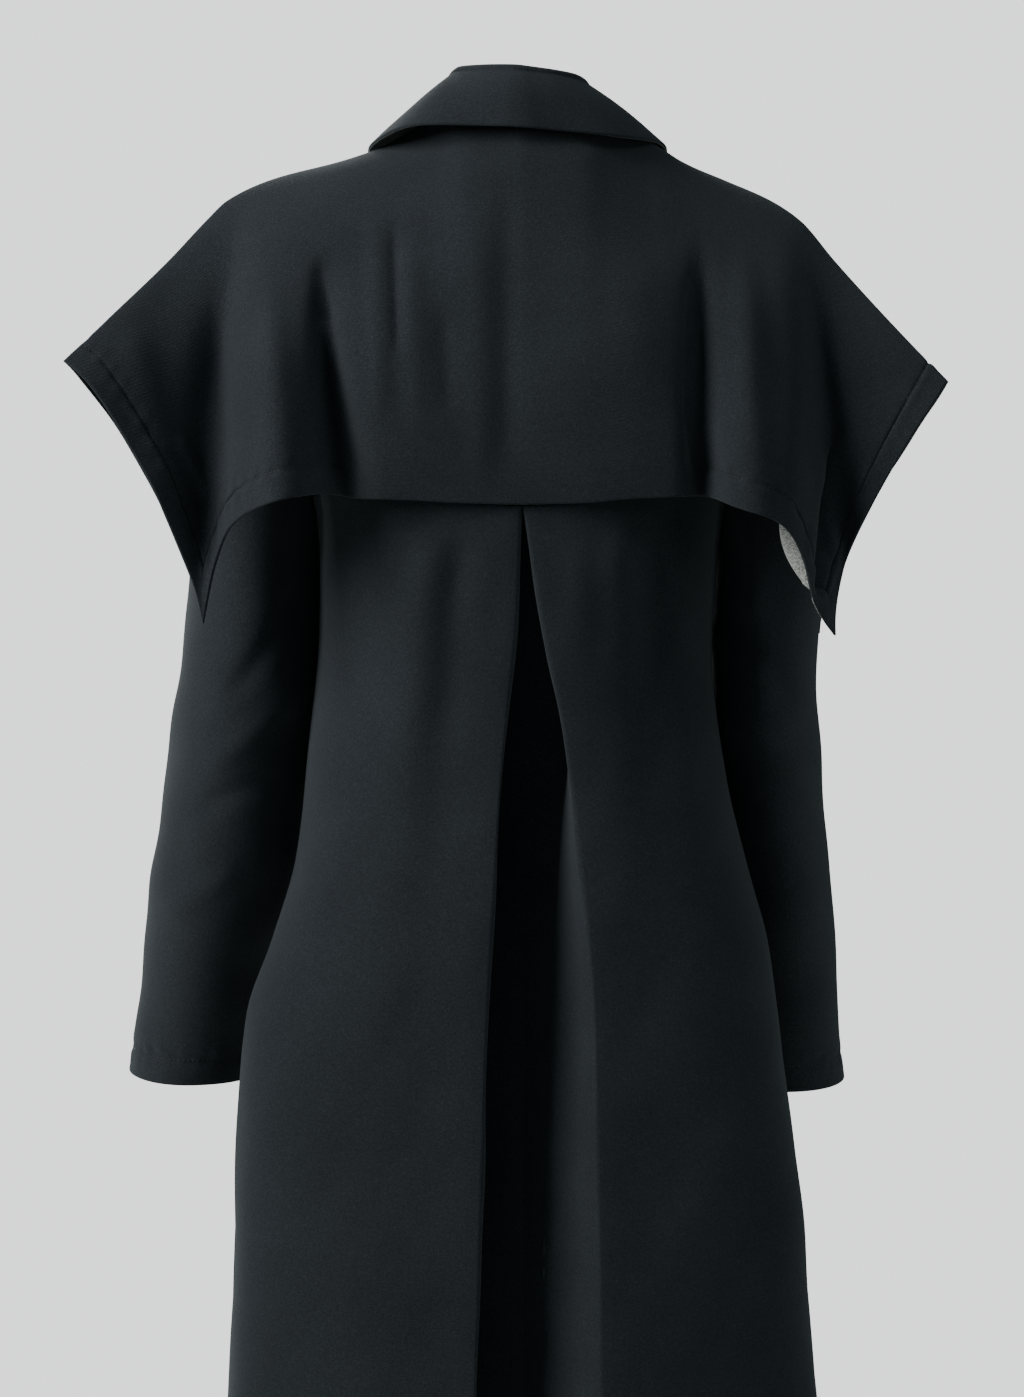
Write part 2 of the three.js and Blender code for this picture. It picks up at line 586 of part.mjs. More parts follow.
// Closed armhole edge on one side: from the shoulder tip over the back to the armpit and forward.
function armhole(sign, turn) {
  const behind = turn <= 0.5;
  const share = behind ? 1 - 2 * turn : 2 * turn - 1;
  const start = ringPoint(CHEST, (sign * Math.PI) / 2);
  start.y = 0;
  const end = place({ ...SHOULDER_TIP, x: sign * SHOULDER_TIP.x });
  const paths = behind ? BACK_PATHS : FRONT_PATHS;
  const curve = upperColumn(start, end, paths, behind ? 1 : 0, -TIP_LEAN * sign);
  const point = curve(share);
  point.x += sign * mix(1.7, WALL + CLEAR, smooth((1 - share) * 1.6));
  return point;
}

function sleeve(sign, table) {
  const ringPointAt = (z, turn) => {
    const get = (column) => look(table, "z", column, z);
    const span = (z - table[0].z) / (table[table.length - 1].z - table[0].z);
    const lean = mix(LEAN.top, LEAN.elbow, smooth(span * 2));
    const tilt = mix(lean, LEAN.cuff, smooth(2 * span - 1));
    const angle = 2 * Math.PI * turn;
    // The turn starts at the outer side, goes over the back, the inner side and the front.
    const x = get("across") * Math.cos(angle);
    const y = get("deep") * Math.sin(angle);
    return new THREE.Vector3(get("x") + sign * x, get("y") + y, z - y * tilt);
  };
  const first = table[0].z;
  const last = table[table.length - 1].z;
  const blend = (turn, t) => {
    const from = armhole(sign, turn);
    const to = ringPointAt(first, turn);
    const next = ringPointAt(first - LEAD, turn);
    const slope = next.clone().sub(to).multiplyScalar((from.z - to.z) / LEAD / 3);
    const top = 0.5 + 0.5 * Math.cos(2 * Math.PI * turn);
    const side = Math.sin(2 * Math.PI * turn);
    const reach = new THREE.Vector3(
      sign * mix(HEAD.armpitX, HEAD.tipX, top),
      HEAD.sideY * side,
      -mix(HEAD.armpitZ, HEAD.tipZ, top),
    );
    return bezier(from, from.clone().add(reach), to.clone().sub(slope), to, t);
  };
  const turns = Array.from({ length: SLEEVE_COLUMNS }, (_, k) => k / SLEEVE_COLUMNS);
  const head = steps(HEAD_ROWS).map((t) => turns.map((turn) => blend(turn, t)));
  const tube = steps(SLEEVE_ROWS - HEAD_ROWS + 1)
    .slice(1)
    .map((t) => turns.map((turn) => ringPointAt(mix(first, last, t), turn)));
  return clothSolid([...head, ...tube], { closed: true });
}

// Row of a cape table at a fractional place, smooth from row to row.
function capeCurve(table, at, sideways) {
  const keyed = table.map((row, i) => ({ i, row }));
  const get = (part, axis) =>
    look(keyed.map(({ i, row }) => ({ i, value: row[part][axis] })), "i", "value", at);
  const point = (part) => new THREE.Vector3(get(part, 0), get(part, 1), get(part, 2));
  const [before, after] = [table[Math.floor(at)], table[Math.ceil(at)]];
  const between = (column) => mix(before[column], after[column], at - Math.floor(at));
  let top;
  if (before.neck !== undefined && after.neck !== undefined) {
    top = neckPoint(between("neck"));
    top.z += mix(CAPE_LIFT, CAPE_FRONT_LIFT, frontNeck(between("neck")));
  } else {
    const x = between("seam");
    const line = x > 0 ? OVERARM_LEFT : OVERARM_RIGHT;
    const [y, z] = ["y", "z"].map((axis) => look(line, "x", axis, Math.abs(x)));
    const gap = HALF_SEAM + SEAM_EASE * smooth(y / 5);
    top = new THREE.Vector3(x, y + sideways * gap, z);
  }
  const parts = [top, ...["leave", "arrive", "hem"].map(point)];
  return (t) => bezier(...parts, t);
}

// Soft folds of the cape as a move along Y, stronger towards the hem.
function capeFold(x, z) {
  let sum = 0;
  for (const fold of CAPE_FOLDS) {
    const dx = fold.toX - fold.fromX;
    const dz = fold.toZ - fold.fromZ;
    const length = Math.hypot(dx, dz);
    const along = ((x - fold.fromX) * dx + (z - fold.fromZ) * dz) / length;
    const off = ((x - fold.fromX) * dz - (z - fold.fromZ) * dx) / length;
    const grow = smooth(along / (0.55 * length));
    const reach = off / (fold.width * mix(0.55, 1, clamp(along / length)));
    sum += fold.height * grow * Math.exp(-reach * reach);
  }
  return sum;
}

function cape(table, columns, behind) {
  const along = steps(columns).map((t) => t * (table.length - 1));
  const sideways = behind ? 1 : -1;
  const curves = along.map((at) => capeCurve(table, at, sideways));
  const grid = steps(CAPE_ROWS).map((t) =>
    curves.map((curve) => {
      const point = curve(t);
      if (behind) point.y += capeFold(point.x, point.z) * smooth(t * 1.6);
      else point.y -= 0.8 * Math.abs(capeFold(point.x, point.z)) * smooth(t * 1.6);
      return point;
    }),
  );
  return clothSolid(grid, { drop: { first: "y", last: "z" } });
}

// The collar's shift fades out towards its front ends, and its tilt towards its sides.
const frontFade = (angle) => 1 - smooth((angle - 110) / 50);
const sideFade = (angle) => 1 - smooth((angle - 40) / 45);

function collar() {
  const end = COLLAR[COLLAR.length - 1].angle;
  const grid = steps(COLLAR_COLUMNS).map((t) => {
    const degrees = mix(end, -end, t);
    const angle = Math.abs(degrees);
    const foot = neckPoint(degrees);
    const ahead = neckPoint(degrees - 2);
    const back = neckPoint(degrees + 2);
    const out = new THREE.Vector3(ahead.y - back.y, back.x - ahead.x, 0).normalize();
    if (out.dot(new THREE.Vector3(foot.x, foot.y + 10, 0)) < 0) out.negate();
    const get = (column) => look(COLLAR, "angle", column, angle);
    const local = (o, up) => foot.clone().addScaledVector(out, o).add(new THREE.Vector3(0, 0, up));
    const line = [];
    for (const s of [0, 0.5]) {
      line.push(local(get("standOut") * s, mix(STAND_LIFT, get("standUp"), s)));
    }
    for (const s of steps(5)) {
      const turned = Math.PI * s;
      line.push(
        local(
          get("standOut") + ROLL_RADIUS * (1 - Math.cos(turned)),
          get("standUp") + ROLL_RADIUS * Math.sin(turned),
        ),
      );
    }
    for (const s of [0.25, 0.5, 0.75, 1]) {
      const bulge = get("bulge") * Math.sin(Math.PI * s);
      line.push(
        local(
          mix(get("standOut") + 2 * ROLL_RADIUS, get("edgeOut"), s) + bulge,
          mix(get("standUp"), get("edgeUp"), s) + bulge,
        ),
      );
    }
    line.forEach((point, k) => {
      const free = smooth(k / 4);
      point.z += COLLAR_TILT * point.x * free * sideFade(angle);
      point.x += COLLAR_SHIFT * free * frontFade(angle);
    });
    return line;
  });
  return clothSolid(grid);
}

// Plain button turned round its own axis, then laid on the upper front.
function button(z) {
  const profile = [
    [0, 0],
    [BUTTON_RADIUS - 1, 0],
    [BUTTON_RADIUS, 1],
    [BUTTON_RADIUS, BUTTON_DEPTH - 1],
    [BUTTON_RADIUS - 1, BUTTON_DEPTH],
    [BUTTON_RADIUS - BUTTON_RIM, BUTTON_DEPTH],
    [BUTTON_RADIUS - BUTTON_RIM - 1, BUTTON_DEPTH - 1],
    [0, BUTTON_DEPTH - 1],
  ].map(([r, y]) => new THREE.Vector2(r, y));
  const geometry = new THREE.LatheGeometry(profile, 20);
  const high = ringPoint(z + BUTTON_RADIUS, Math.PI);
  const low = ringPoint(z - BUTTON_RADIUS, Math.PI);
  const tilt = Math.atan2(high.y - low.y, high.z - low.z);
  geometry.rotateX(Math.PI - tilt);
  const middle = ringPoint(z, Math.PI);
  geometry.translate(middle.x, middle.y - WALL / 2 - CLEAR, middle.z);
  return geometry;
}

addPiece("back_upper", backUpper(), FELT);
addPiece("back_lower", backLower(), FELT);
addPiece("front_left", front(1, false), FELT);
addPiece("front_right", front(-1, true), FELT);
addPiece("sleeve_left", sleeve(1, SLEEVE_LEFT), FELT);
addPiece("sleeve_right", sleeve(-1, SLEEVE_RIGHT), FELT);
addPiece("cape_back", cape(CAPE_BACK, CAPE_BACK_COLUMNS, true), FELT);
addPiece("cape_front_left", cape(CAPE_FRONT_LEFT, CAPE_FRONT_COLUMNS, false), FELT);
addPiece("cape_front_right", cape(CAPE_FRONT_RIGHT, CAPE_FRONT_COLUMNS, false), FELT);
addPiece("collar", collar(), FELT);
for (const { name, z } of BUTTONS) addPiece(name, button(z), HORN);

export default coat;
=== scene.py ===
"""A long wool cape coat in its worn, hollow form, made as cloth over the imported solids.

The tables and shape functions are in millimetres, and a mesh is made in metres. The front faces
-Y, the back +Y and the wearer's left is +X. The origin is the middle of the neck opening.
"""

import bpy
import numpy as np
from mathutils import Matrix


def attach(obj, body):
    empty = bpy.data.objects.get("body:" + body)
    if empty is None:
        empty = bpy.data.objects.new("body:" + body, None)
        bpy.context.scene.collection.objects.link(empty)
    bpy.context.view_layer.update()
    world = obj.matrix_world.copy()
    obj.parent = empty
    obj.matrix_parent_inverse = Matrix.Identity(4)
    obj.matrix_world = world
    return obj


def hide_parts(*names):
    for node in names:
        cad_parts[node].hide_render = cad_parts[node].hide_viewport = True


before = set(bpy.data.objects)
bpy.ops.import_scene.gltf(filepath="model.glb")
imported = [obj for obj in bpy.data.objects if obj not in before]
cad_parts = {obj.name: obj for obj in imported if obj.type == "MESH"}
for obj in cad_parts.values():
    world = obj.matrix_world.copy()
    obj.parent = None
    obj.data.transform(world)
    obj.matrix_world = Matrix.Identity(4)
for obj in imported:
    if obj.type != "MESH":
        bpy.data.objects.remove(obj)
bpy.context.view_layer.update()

bl_info = {
    "name": "Wool cape coat",
    "version": (1, 0, 0),
    "blender": (4, 5, 0),
    "location": "View3D > Sidebar > Cape coat",
    "description": "Makes the cloth, sewing, buttons and stage of a wool cape coat",
    "category": "Object",
}

MM = 0.001
NONE = float("nan")


def table(columns, *rows):
    """Named columns of a short table, each as one array."""
    return {name: np.array(values, float) for name, values in zip(columns.split(), zip(*rows))}


# Heights and gaps, as in the solids
HEM = -1150.0
CHEST = -257.0
SEAM_SAG = 10.0
WALL = 2.4
CAPE_LIFT = 1.7
CAPE_FRONT_LIFT = -0.3
UNDER_DROP = 2.75
UNDER_FRONT_DROP = 4.8
HALF_SEAM = 0.2
LAP = 3.2
LAP_X = 30.0
CLEAR = 0.35
BACK_SQUARENESS = 2.35
HEM_SQUARENESS = 3.8
HEM_RIDGE = 0.2
FRONT_SQUARENESS = 2.05
TURN_RADIUS = 2.0
NECK_SHARE = 0.42
NECK_WIDE = 65.0
TIP_LEAN = 18.0

# Rings of the coat body from the chest to the hem: half widths, depths behind and in front
BODY = table(
    "z left right back front",
    (-257, 140, 137, 112, 114),
    (-300, 136, 131, 109, 117),
    (-365, 137, 127, 104, 117),
    (-445, 145, 137, 102, 115),
    (-505, 153, 151, 105, 115),
    (-556, 168, 164, 109, 117),
    (-610, 185, 172, 112, 119),
    (-675, 190, 181, 115, 122),
    (-783, 195, 192, 119, 128),
    (-870, 197, 199, 122, 133),
    (-1150, 211, 214, 130, 148),
)

# The inverted box pleat: fold edges, inner turns and floor, seen from above
PLEAT = table(
    "z left right turn_left deep_left turn_right deep_right floor",
    (-257, 3, 3, 46, 6, 47, 6, 8),
    (-334, 6, 15, 44, 22, 40, 20, 24),
    (-405, 12, 28, 42, 36, 34, 30, 38),
    (-485, 18, 39, 40, 46, 26, 33, 44),
    (-604, 25, 49, 38, 50, 19, 34, 47),
    (-866, 33, 54, 39, 52, 14, 33, 48),
    (-1150, 40, 58, 42, 54, 14, 36, 49),
)

# Neck seam by angle from the centre back to the centre front
NECK = table(
    "angle x y z",
    (0, 0, 55, 0),
    (45, 46, 39, -1),
    (90, 65, 0, -5),
    (135, 49, -49, -31),
    (160, 25, -75, -60),
    (180, 0, -84, -74),
)

# Under layer: how each column leaves the chest and arrives at the neck or shoulder
SHOULDER_TIP = (176.0, 0.0, -76.0)
NECK_POINT = (63.0, 0.0, -7.75)
BACK_PATHS = table(
    "at rise_y rise_z arrive_y arrive_z",
    (0, 2, 90, 18, -50),
    (0.42, 3, 95, 30, -26),
    (0.75, 20, 70, 44, -26),
    (1, 72, 18, 54, -48),
)
FRONT_PATHS = table(
    "at rise_y rise_z arrive_y arrive_z",
    (0, -68, 18, -54, -48),
    (0.25, -22, 70, -48, -26),
    (0.42, -8, 90, -34, -26),
    (0.75, -5, 80, -16, -40),
    (1, -5, 70, -10, -44),
)

# Sleeves: centre line and half widths across and front to back, down to the cuff
SLEEVE_LEFT = table(
    "z x y across deep",
    (-300, 181, -26, 42.6, 72),
    (-370, 185.2, -34, 46.6, 70),
    (-440, 193, -48, 49.5, 66),
    (-510, 204, -68, 50, 60),
    (-580, 218, -96, 45, 55),
    (-655, 229.5, -124, 43.5, 51),
)
SLEEVE_RIGHT = table(
    "z x y across deep",
    (-300, -170.4, -28, 36.9, 72),
    (-370, -164.8, -40, 36, 71),
    (-440, -169.8, -62, 36, 67),
    (-510, -177, -88, 35.5, 61),
    (-580, -181.5, -116, 37, 55),
    (-661, -184, -142, 42, 51),
)

# Cape: the seam along the shoulder and over the arm, and columns of cloth from it to the hem
OVERARM_LEFT = table(
    "x y z",
    (65, 0, -3.3),
    (95, 0, -21),
    (120, 1, -30),
    (170.8, 6, -44),
    (199.3, 14, -58.2),
    (212.8, 24, -72.4),
    (237.3, 46, -101.4),
    (277.3, 82, -144.2),
    (303, 106, -172),
)
OVERARM_RIGHT = table(
    "x y z",
    (65, 0, -3.3),
    (90, 0, -20),
    (105, 0, -30),
    (136.9, 2, -43.7),
    (167.7, 6, -57.5),
    (188.3, 14, -72.1),
    (210.4, 30, -100.2),
    (245.3, 58, -142.2),
    (283, 84, -184.5),
)
CAPE_COLUMNS = (
    "seam neck leave_x leave_y leave_z arrive_x arrive_y arrive_z hem_x hem_y hem_z"
)
CAPE_BACK = table(
    CAPE_COLUMNS,
    (303, NONE, 269, 122, -200, 231, 104, -277, 212, 88, -345),
    (271, NONE, 258, 100, -158, 221, 98, -256, 208, 92, -328),
    (242, NONE, 237, 76, -128, 210, 94, -222, 202, 98, -302),
    (216, NONE, 214, 56, -99, 202, 96, -200, 194, 106, -284),
    (194, NONE, 194, 44, -68, 186, 112, -180, 177, 118, -271),
    (160, NONE, 160, 46, -46, 156, 124, -160, 151, 125, -263),
    (124, NONE, 126, 50, -36, 131, 119, -155, 130, 112, -260),
    (95, NONE, 98, 50, -28, 104, 120, -155, 104, 115, -263),
    (65, 90, 70, 46, -14, 74, 122, -155, 74, 115, -264),
    (NONE, 40, 38, 74, -26, 40, 124, -155, 40, 116, -266),
    (NONE, 0, 0, 86, -40, 0, 124, -155, 0, 116, -267),
    (NONE, -40, -38, 74, -26, -40, 124, -155, -40, 116, -266),
    (-65, -90, -70, 46, -14, -74, 122, -155, -74, 115, -263),
    (-90, NONE, -93, 50, -27, -100, 120, -155, -100, 115, -262),
    (-110, NONE, -113, 50, -36, -119, 120, -155, -119, 114, -261),
    (-145, NONE, -146, 48, -52, -148, 126, -170, -143, 128, -270),
    (-180, NONE, -178, 46, -74, -172, 122, -190, -169, 126, -281),
    (-204, NONE, -202, 52, -106, -187, 112, -213, -184, 114, -303),
    (-230, NONE, -224, 66, -138, -200, 104, -238, -192, 104, -330),
    (-257, NONE, -245, 88, -177, -207, 98, -271, -200, 96, -344),
    (-283, NONE, -256, 104, -227, -203, 96, -301, -207, 88, -353),
)
CAPE_FRONT_LEFT = table(
    CAPE_COLUMNS,
    (303, NONE, 276, 56, -196, 236, -50, -276, 214, -96, -343),
    (271, NONE, 261, 30, -156, 223, -94, -254, 204, -118, -324),
    (242, NONE, 239, 2, -123, 211, -122, -225, 192, -136, -304),
    (194, NONE, 193, -36, -67, 178, -138, -190, 164, -148, -288),
    (124, NONE, 126, -56, -38, 126, -146, -170, 118, -140, -276),
    (95, NONE, 100, -56, -32, 104, -146, -168, 100, -144, -273),
    (65, 90, 74, -60, -22, 80, -146, -165, 80, -150, -270),
    (NONE, 130, 52, -88, -62, 58, -142, -170, 56, -143, -266),
    (NONE, 164, 24, -104, -92, 34, -138, -180, 34, -146, -263),
)
CAPE_FRONT_RIGHT = table(
    CAPE_COLUMNS,
    (-283, NONE, -262, 40, -222, -207, -56, -299, -206, -96, -350),
    (-257, NONE, -248, 14, -175, -206, -96, -268, -196, -116, -330),
    (-230, NONE, -226, -14, -141, -201, -124, -232, -188, -136, -308),
    (-180, NONE, -178, -42, -75, -168, -138, -192, -160, -148, -288),
    (-110, NONE, -114, -56, -38, -122, -146, -170, -117, -140, -276),
    (-90, NONE, -96, -56, -32, -102, -146, -168, -98, -144, -273),
    (-65, -90, -74, -60, -22, -80, -146, -165, -80, -150, -270),
    (NONE, -130, -52, -88, -62, -58, -142, -170, -56, -143, -266),
    (NONE, -164, -24, -104, -92, -34, -138, -180, -34, -146, -263),
)

# Soft folds of the cape, along a line in the X-Z plane, and gathers below the yoke seam
CAPE_FOLDS = table(
    "x z to_x to_z width height",
    (194, -62, 212, -270, 19, -12),
    (172, -90, 160, -262, 17, 13),
    (140, -104, 116, -256, 13, -15),
    (-118, -76, -121, -255, 12, -12),
    (-147, -70, -154, -264, 14, 9),
    (-190, -66, -214, -290, 15, -11),
)
GATHERS = table(
    "x spread width height fade",
    (128, 1.25, 12, 4, 300),
    (104, 1.25, 14, -3, 360),
    (61, 1.55, 11, 5, 380),
    (40, 1.6, 9, -4, 330),
    (-36, 1.4, 10, 2.5, 300),
    (-62, 1.3, 11, 4, 380),
    (-86, 0.95, 11, -4.5, 380),
    (-110, 1.08, 12, 5, 420),
)

# Collar sections by angle: the stand's top, the fall's edge and how far the fall bulges
COLLAR = table(
    "angle stand_out stand_up edge_out edge_up bulge",
    (0, 1, 25.5, 26, -14, 3),
    (14, 0, 25.5, 26.1, -14, 3),
    (45, -13, 25, 31, -14, 2.5),
    (90, -22, 19, 36, -16.2, 2),
    (125, -8, 15, 48, -18, 3),
    (150, -4, 12, 52, -36, 4),
    (173, 0, 9, 46, -70, 6),
)
COLLAR_TILT = 0.06
COLLAR_SHIFT = 3.0
ROLL_RADIUS = 3.2
TUCK_SEAM = 241.0  # place on the right overarm seam of the column that folds furthest
TUCK_WIDTH = 9.0
TUCK_REACH = 32.0
TUCK_SHOWS = 0.15  # share of the tuck from which the hem's inside is pale
HEM_STEP = 0.8
HEM_GROOVE = 1.3
GROOVE_WIDTH = 1.5
PUCKER = 0.5
PUCKER_SIZE = 9.0
EDGE_WALL = 0.35  # share of the wall left at a cut edge
EDGE_STEPS = (0.3, 0.8, 1.4, 2.2)
LINE_STEPS = (-1.6, -0.8, 0, 0.8, 1.6)
HEM_BAND = 38.0  # closer rows above the coat's hem, and above the cuffs
CUFF_BAND = 24.0
SLEEVE_LENGTH = 360.0  # below the sleeve's head
CAPE_DROP = 240.0
CAPE_FRONT_DROP = 260.0
CAPE_FRONT_WIDTH = 330.0
YOKE_END = 116.0  # where the yoke seam ends and the wing's free hem begins
STAND_LIFT = 3.4
BUTTONS = tuple(f"button_{number}" for number in range(1, 5))

# Creases worked into the cloth: a line from (x, z) to (to_x, to_z) with its width on the left and
# the right as seen from outside at the back, its height (below zero is a trough), how keen its
# right side is (1 is a sharp edge, 2 is soft; below zero the left side is the keen one) and how
# far its middle bows towards the left
CREASE_COLUMNS = "x z to_x to_z left right height keen bow"
CAPE_BACK_CREASES = table(
    CREASE_COLUMNS,
    (194, -66, 211, -292, 12, 12, -3.5, 1, -1),
    (262, -150, 236, -262, 12, 12, 3, 2, 2),
    (134, -106, 111, -256, 13, 4, -5, 1, -3),
    (136, -105, 133, -145, 9, 5, -3, 2, 0),
    (236, -232, 214, -268, 4, 4, -1.8, 2, 0),
    (229, -222, 210, -258, 4, 4, 1.7, 2, 0),
    (98, -80, 94, -210, 8, 6, 2.2, 2, 0),
    (85, -84, 82, -168, 5, 4, -2.5, 2, 0),
    (72, -92, 68, -215, 8, 8, 1.6, 2, 0),
    (52, -140, 48, -205, 7, 6, -1.8, 2, 0),
    (30, -80, 27, -250, 13, 9, 2.2, 2, 0),
    (10, -60, 11, -235, 10, 9, -2, 2, 0),
    (76, -30, 76, -185, 24, 44, 5, 2, 0),
    (-68, -6, -72, -190, 54, 42, 8, 2, 0),
    (78, -110, 74, -262, 44, 40, 3.5, 2, 0),
    (-70, -110, -70, -262, 30, 44, 5, 2, 0),
    (10, -60, 10, -250, 30, 30, -3, 2, 0),
    (-112, -110, -118, -258, 16, 5, -4.5, 1, -9),
    (-170, -96, -180, -290, 17, 16, 3.6, 2, 0),
    (-196, -232, -207, -300, 5, 5, 2, 2, 0),
)
CAPE_FRONT_CREASES = table(
    CREASE_COLUMNS,
    (176, -70, 168, -280, 14, 11, -3.2, 2, 4),
    (138, -96, 120, -262, 12, 12, 2.8, 2, -3),
    (92, -60, 74, -240, 9, 9, -2, 2, 2),
    (-168, -66, -172, -276, 12, 14, -3.4, 2, -4),
    (-132, -90, -118, -262, 11, 12, 2.6, 2, 3),
    (-86, -66, -70, -230, 10, 8, -2, 2, 0),
)
SLEEVE_CREASES = table(
    CREASE_COLUMNS,
    (150, -318, 196, -392, 9, 7, -3, 2, 3),
    (154, -388, 208, -438, 8, 9, 2.8, 2, 4),
    (168, -450, 216, -470, 7, 8, -2.4, 2, -3),
    (196, -512, 244, -540, 8, 8, 1.6, 2, 2),
    (-146, -258, -158, -340, 7, 8, 3.2, 2, 3),
    (-132, -330, -184, -398, 9, 8, -2.8, 2, 2),
    (-138, -402, -196, -446, 8, 9, 2.6, 2, -4),
    (-158, -462, -204, -480, 7, 7, -2.2, 2, 2),
)
FRONT_CREASES = table(
    CREASE_COLUMNS,
    (92, -290, 128, -860, 22, 18, 4.6, 2, 6),
    (60, -420, 74, -1040, 16, 18, -3.4, 2, -5),
    (136, -560, 164, -1100, 18, 16, -3.6, 2, 0),
    (-96, -310, -122, -820, 18, 22, 4.4, 2, -7),
    (-58, -470, -80, -1080, 17, 15, -3.6, 2, 4),
    (-140, -600, -168, -1110, 16, 18, -3.4, 2, 0),
)

# Stage, in metres: each area light's share of the key's power, size, place and aim
LIGHTS = {
    "key_light": (1, (1.1, 1.5), (1.9, 1.0, 0.75), (0, 0.1, -0.35)),
    "low_light": (0.1, (1.0, 1.6), (-2.3, 0.7, -0.7), (0, 0, -0.6)),
    "high_light": (0.15, (0.9, 0.9), (-1.6, 1.1, 1.7), (0, 0.05, -0.05)),
    "front_light": (1.6, (2.2, 2.2), (1.4, -3.4, 1.2), (0, 0, -0.5)),
}
CAMERA_PLACE = (0.0068, 4.0, -0.395)
CAMERA_LENS = 101.05
CAMERA_SENSOR = 24.0
FLOOR_RINGS = (0.0, 1.5, 3.0, 4.5)
FLOOR_SIDES = 96


def clamp(t):
    return np.clip(t, 0.0, 1.0)


def smooth(t):
    """Zero below 0, one above 1, and the cubic 3t^2 - 2t^3 between."""
    t = clamp(t)
    return t * t * (3 - 2 * t)


def mix(a, b, t):
    return a + (b - a) * t


def points(x, y, z):
    return np.stack(np.broadcast_arrays(x, y, z), -1).astype(float)


def power(value, exponent):
    return np.sign(value) * np.abs(value) ** exponent


def unit(vectors):
    return vectors / np.maximum(np.linalg.norm(vectors, axis=-1, keepdims=True), 1e-9)


def read(rows, key, column, where):
    """A smooth cubic curve through the rows that never swings past them: column where key is."""
    k, v = rows[key], rows[column]
    if k[0] > k[-1]:
        k, v = k[::-1], v[::-1]
    at = np.clip(where, k[0], k[-1])
    i = np.clip(np.searchsorted(k, at) - 1, 0, len(k) - 2)
    rise = np.diff(v) / np.diff(k)
    before, after = rise[:-1], rise[1:]
    both = before * after > 0
    middle = np.where(both, 2 * before * after / np.where(both, before + after, 1), 0)
    slope = np.concatenate([rise[:1], middle, rise[-1:]])
    span = np.diff(k)[i]
    t = (at - k[i]) / span
    return (
        (2 * t**3 - 3 * t**2 + 1) * v[i]
        + (t**3 - 2 * t**2 + t) * span * slope[i]
        + (3 * t**2 - 2 * t**3) * v[i + 1]
        + (t**3 - t**2) * span * slope[i + 1]
    )


def edged(count, length, first=True, last=True, at=()):
    """Even places from 0 to 1, with closer ones by the cut edges and round the places in at."""
    near = np.array(EDGE_STEPS) / length
    extra = [near] * first + [1 - near] * last
    extra += [place + np.array(LINE_STEPS) / length for place in at]
    even = np.linspace(0, 1, count)
    spots = np.unique(np.concatenate([even] + extra))
    return spots[np.concatenate([[True], np.diff(spots) > 0.2 / length])]


def bezier(a, b, c, d, t):
    """Cubic curve from a to d with the control points b and c."""
    s = 1 - t
    return s**3 * a + 3 * s * s * t * b + 3 * s * t * t * c + t**3 * d


def lowness(z):
    """How far below the waist: there the back is flatter and stands out along the centre."""
    return smooth((-430 - z) / 240)


def back_squareness(z):
    return mix(BACK_SQUARENESS, HEM_SQUARENESS, lowness(z))


def ring_point(z, angle):
    """Superellipse round the body at height z; angle 0 is the centre back, then the left side."""
    side, ahead = np.sin(angle), np.cos(angle)
    behind = ahead >= 0
    exponent = 2 / np.where(behind, back_squareness(z), FRONT_SQUARENESS)
    half = np.where(side >= 0, read(BODY, "z", "left", z), read(BODY, "z", "right", z))
    depth = np.where(behind, read(BODY, "z", "back", z), read(BODY, "z", "front", z))
    x = half * power(side, exponent)
    ridge = np.where(behind, 1 - HEM_RIDGE * lowness(z) * np.abs(x / half), 1)
    return points(x, depth * power(ahead, exponent) * ridge, z)


def ring_angle(z, x, column, squareness):
    """Angle at which the ring is a distance x from the centre plane."""
    return np.arcsin(clamp(x / read(BODY, "z", column, z)) ** (squareness / 2))


def gather(x, z):
    """Sum of bell-shaped ridges that start at the yoke seam, spread and fade downwards."""
    drop = CHEST - SEAM_SAG - z
    total = 0 * x * z
    for at, spread, width, height, fade in zip(*GATHERS.values()):
        grow = clamp(drop / fade)
        off = (x - at * mix(1, spread, grow)) / (width * mix(1, 2.4, grow))
        strength = smooth(drop / 40) * mix(1, 0.12, smooth(drop / fade))
        total = total + height * np.exp(-off * off) * strength
    return total


def pleat_section(z, side, turns=8):
    """Half of the pleat seen from above: an arc round the fold edge, a straight run to the inner
    turn, an arc round it and a straight run half way to the floor, all tangent to each other."""
    radius = TURN_RADIUS
    edge = read(PLEAT, "z", side, z)
    floor = read(PLEAT, "z", "floor", z)
    turn_x, turn_y = read(PLEAT, "z", "turn_" + side, z), -read(PLEAT, "z", "deep_" + side, z)
    run = np.hypot(turn_x - edge, turn_y + radius)
    heading = np.arctan2(turn_y + radius, turn_x - edge) + np.arcsin(np.minimum(1, 2 * radius / run))
    home = np.hypot(turn_x, -floor - turn_y)
    leaving = np.arctan2(-floor - turn_y, -turn_x) - np.arcsin(radius / home)
    leaving = np.where(leaving > 0, leaving - 2 * np.pi, leaving)
    t = np.linspace(0, 1, turns)
    first, second = mix(-np.pi, heading, t), mix(heading, leaving, t)
    x = [edge + radius * np.sin(first), turn_x - radius * np.sin(second)]
    y = [-radius - radius * np.cos(first), turn_y + radius * np.cos(second)]
    runs = np.linspace(0, 1, 14)[1:-1]
    between = [mix(a[:, -1:], b[:, :1], runs) for a, b in ((x[0], x[1]), (y[0], y[1]))]
    home_run = np.linspace(0, 1, 12)[1:-1]
    last = [mix(x[1][:, -1:], 0, home_run), mix(y[1][:, -1:], -floor, home_run)]
    return (
        edge,
        np.concatenate([x[0], between[0], x[1], last[0]], 1),
        np.concatenate([y[0], between[1], y[1], last[1]], 1),
    )


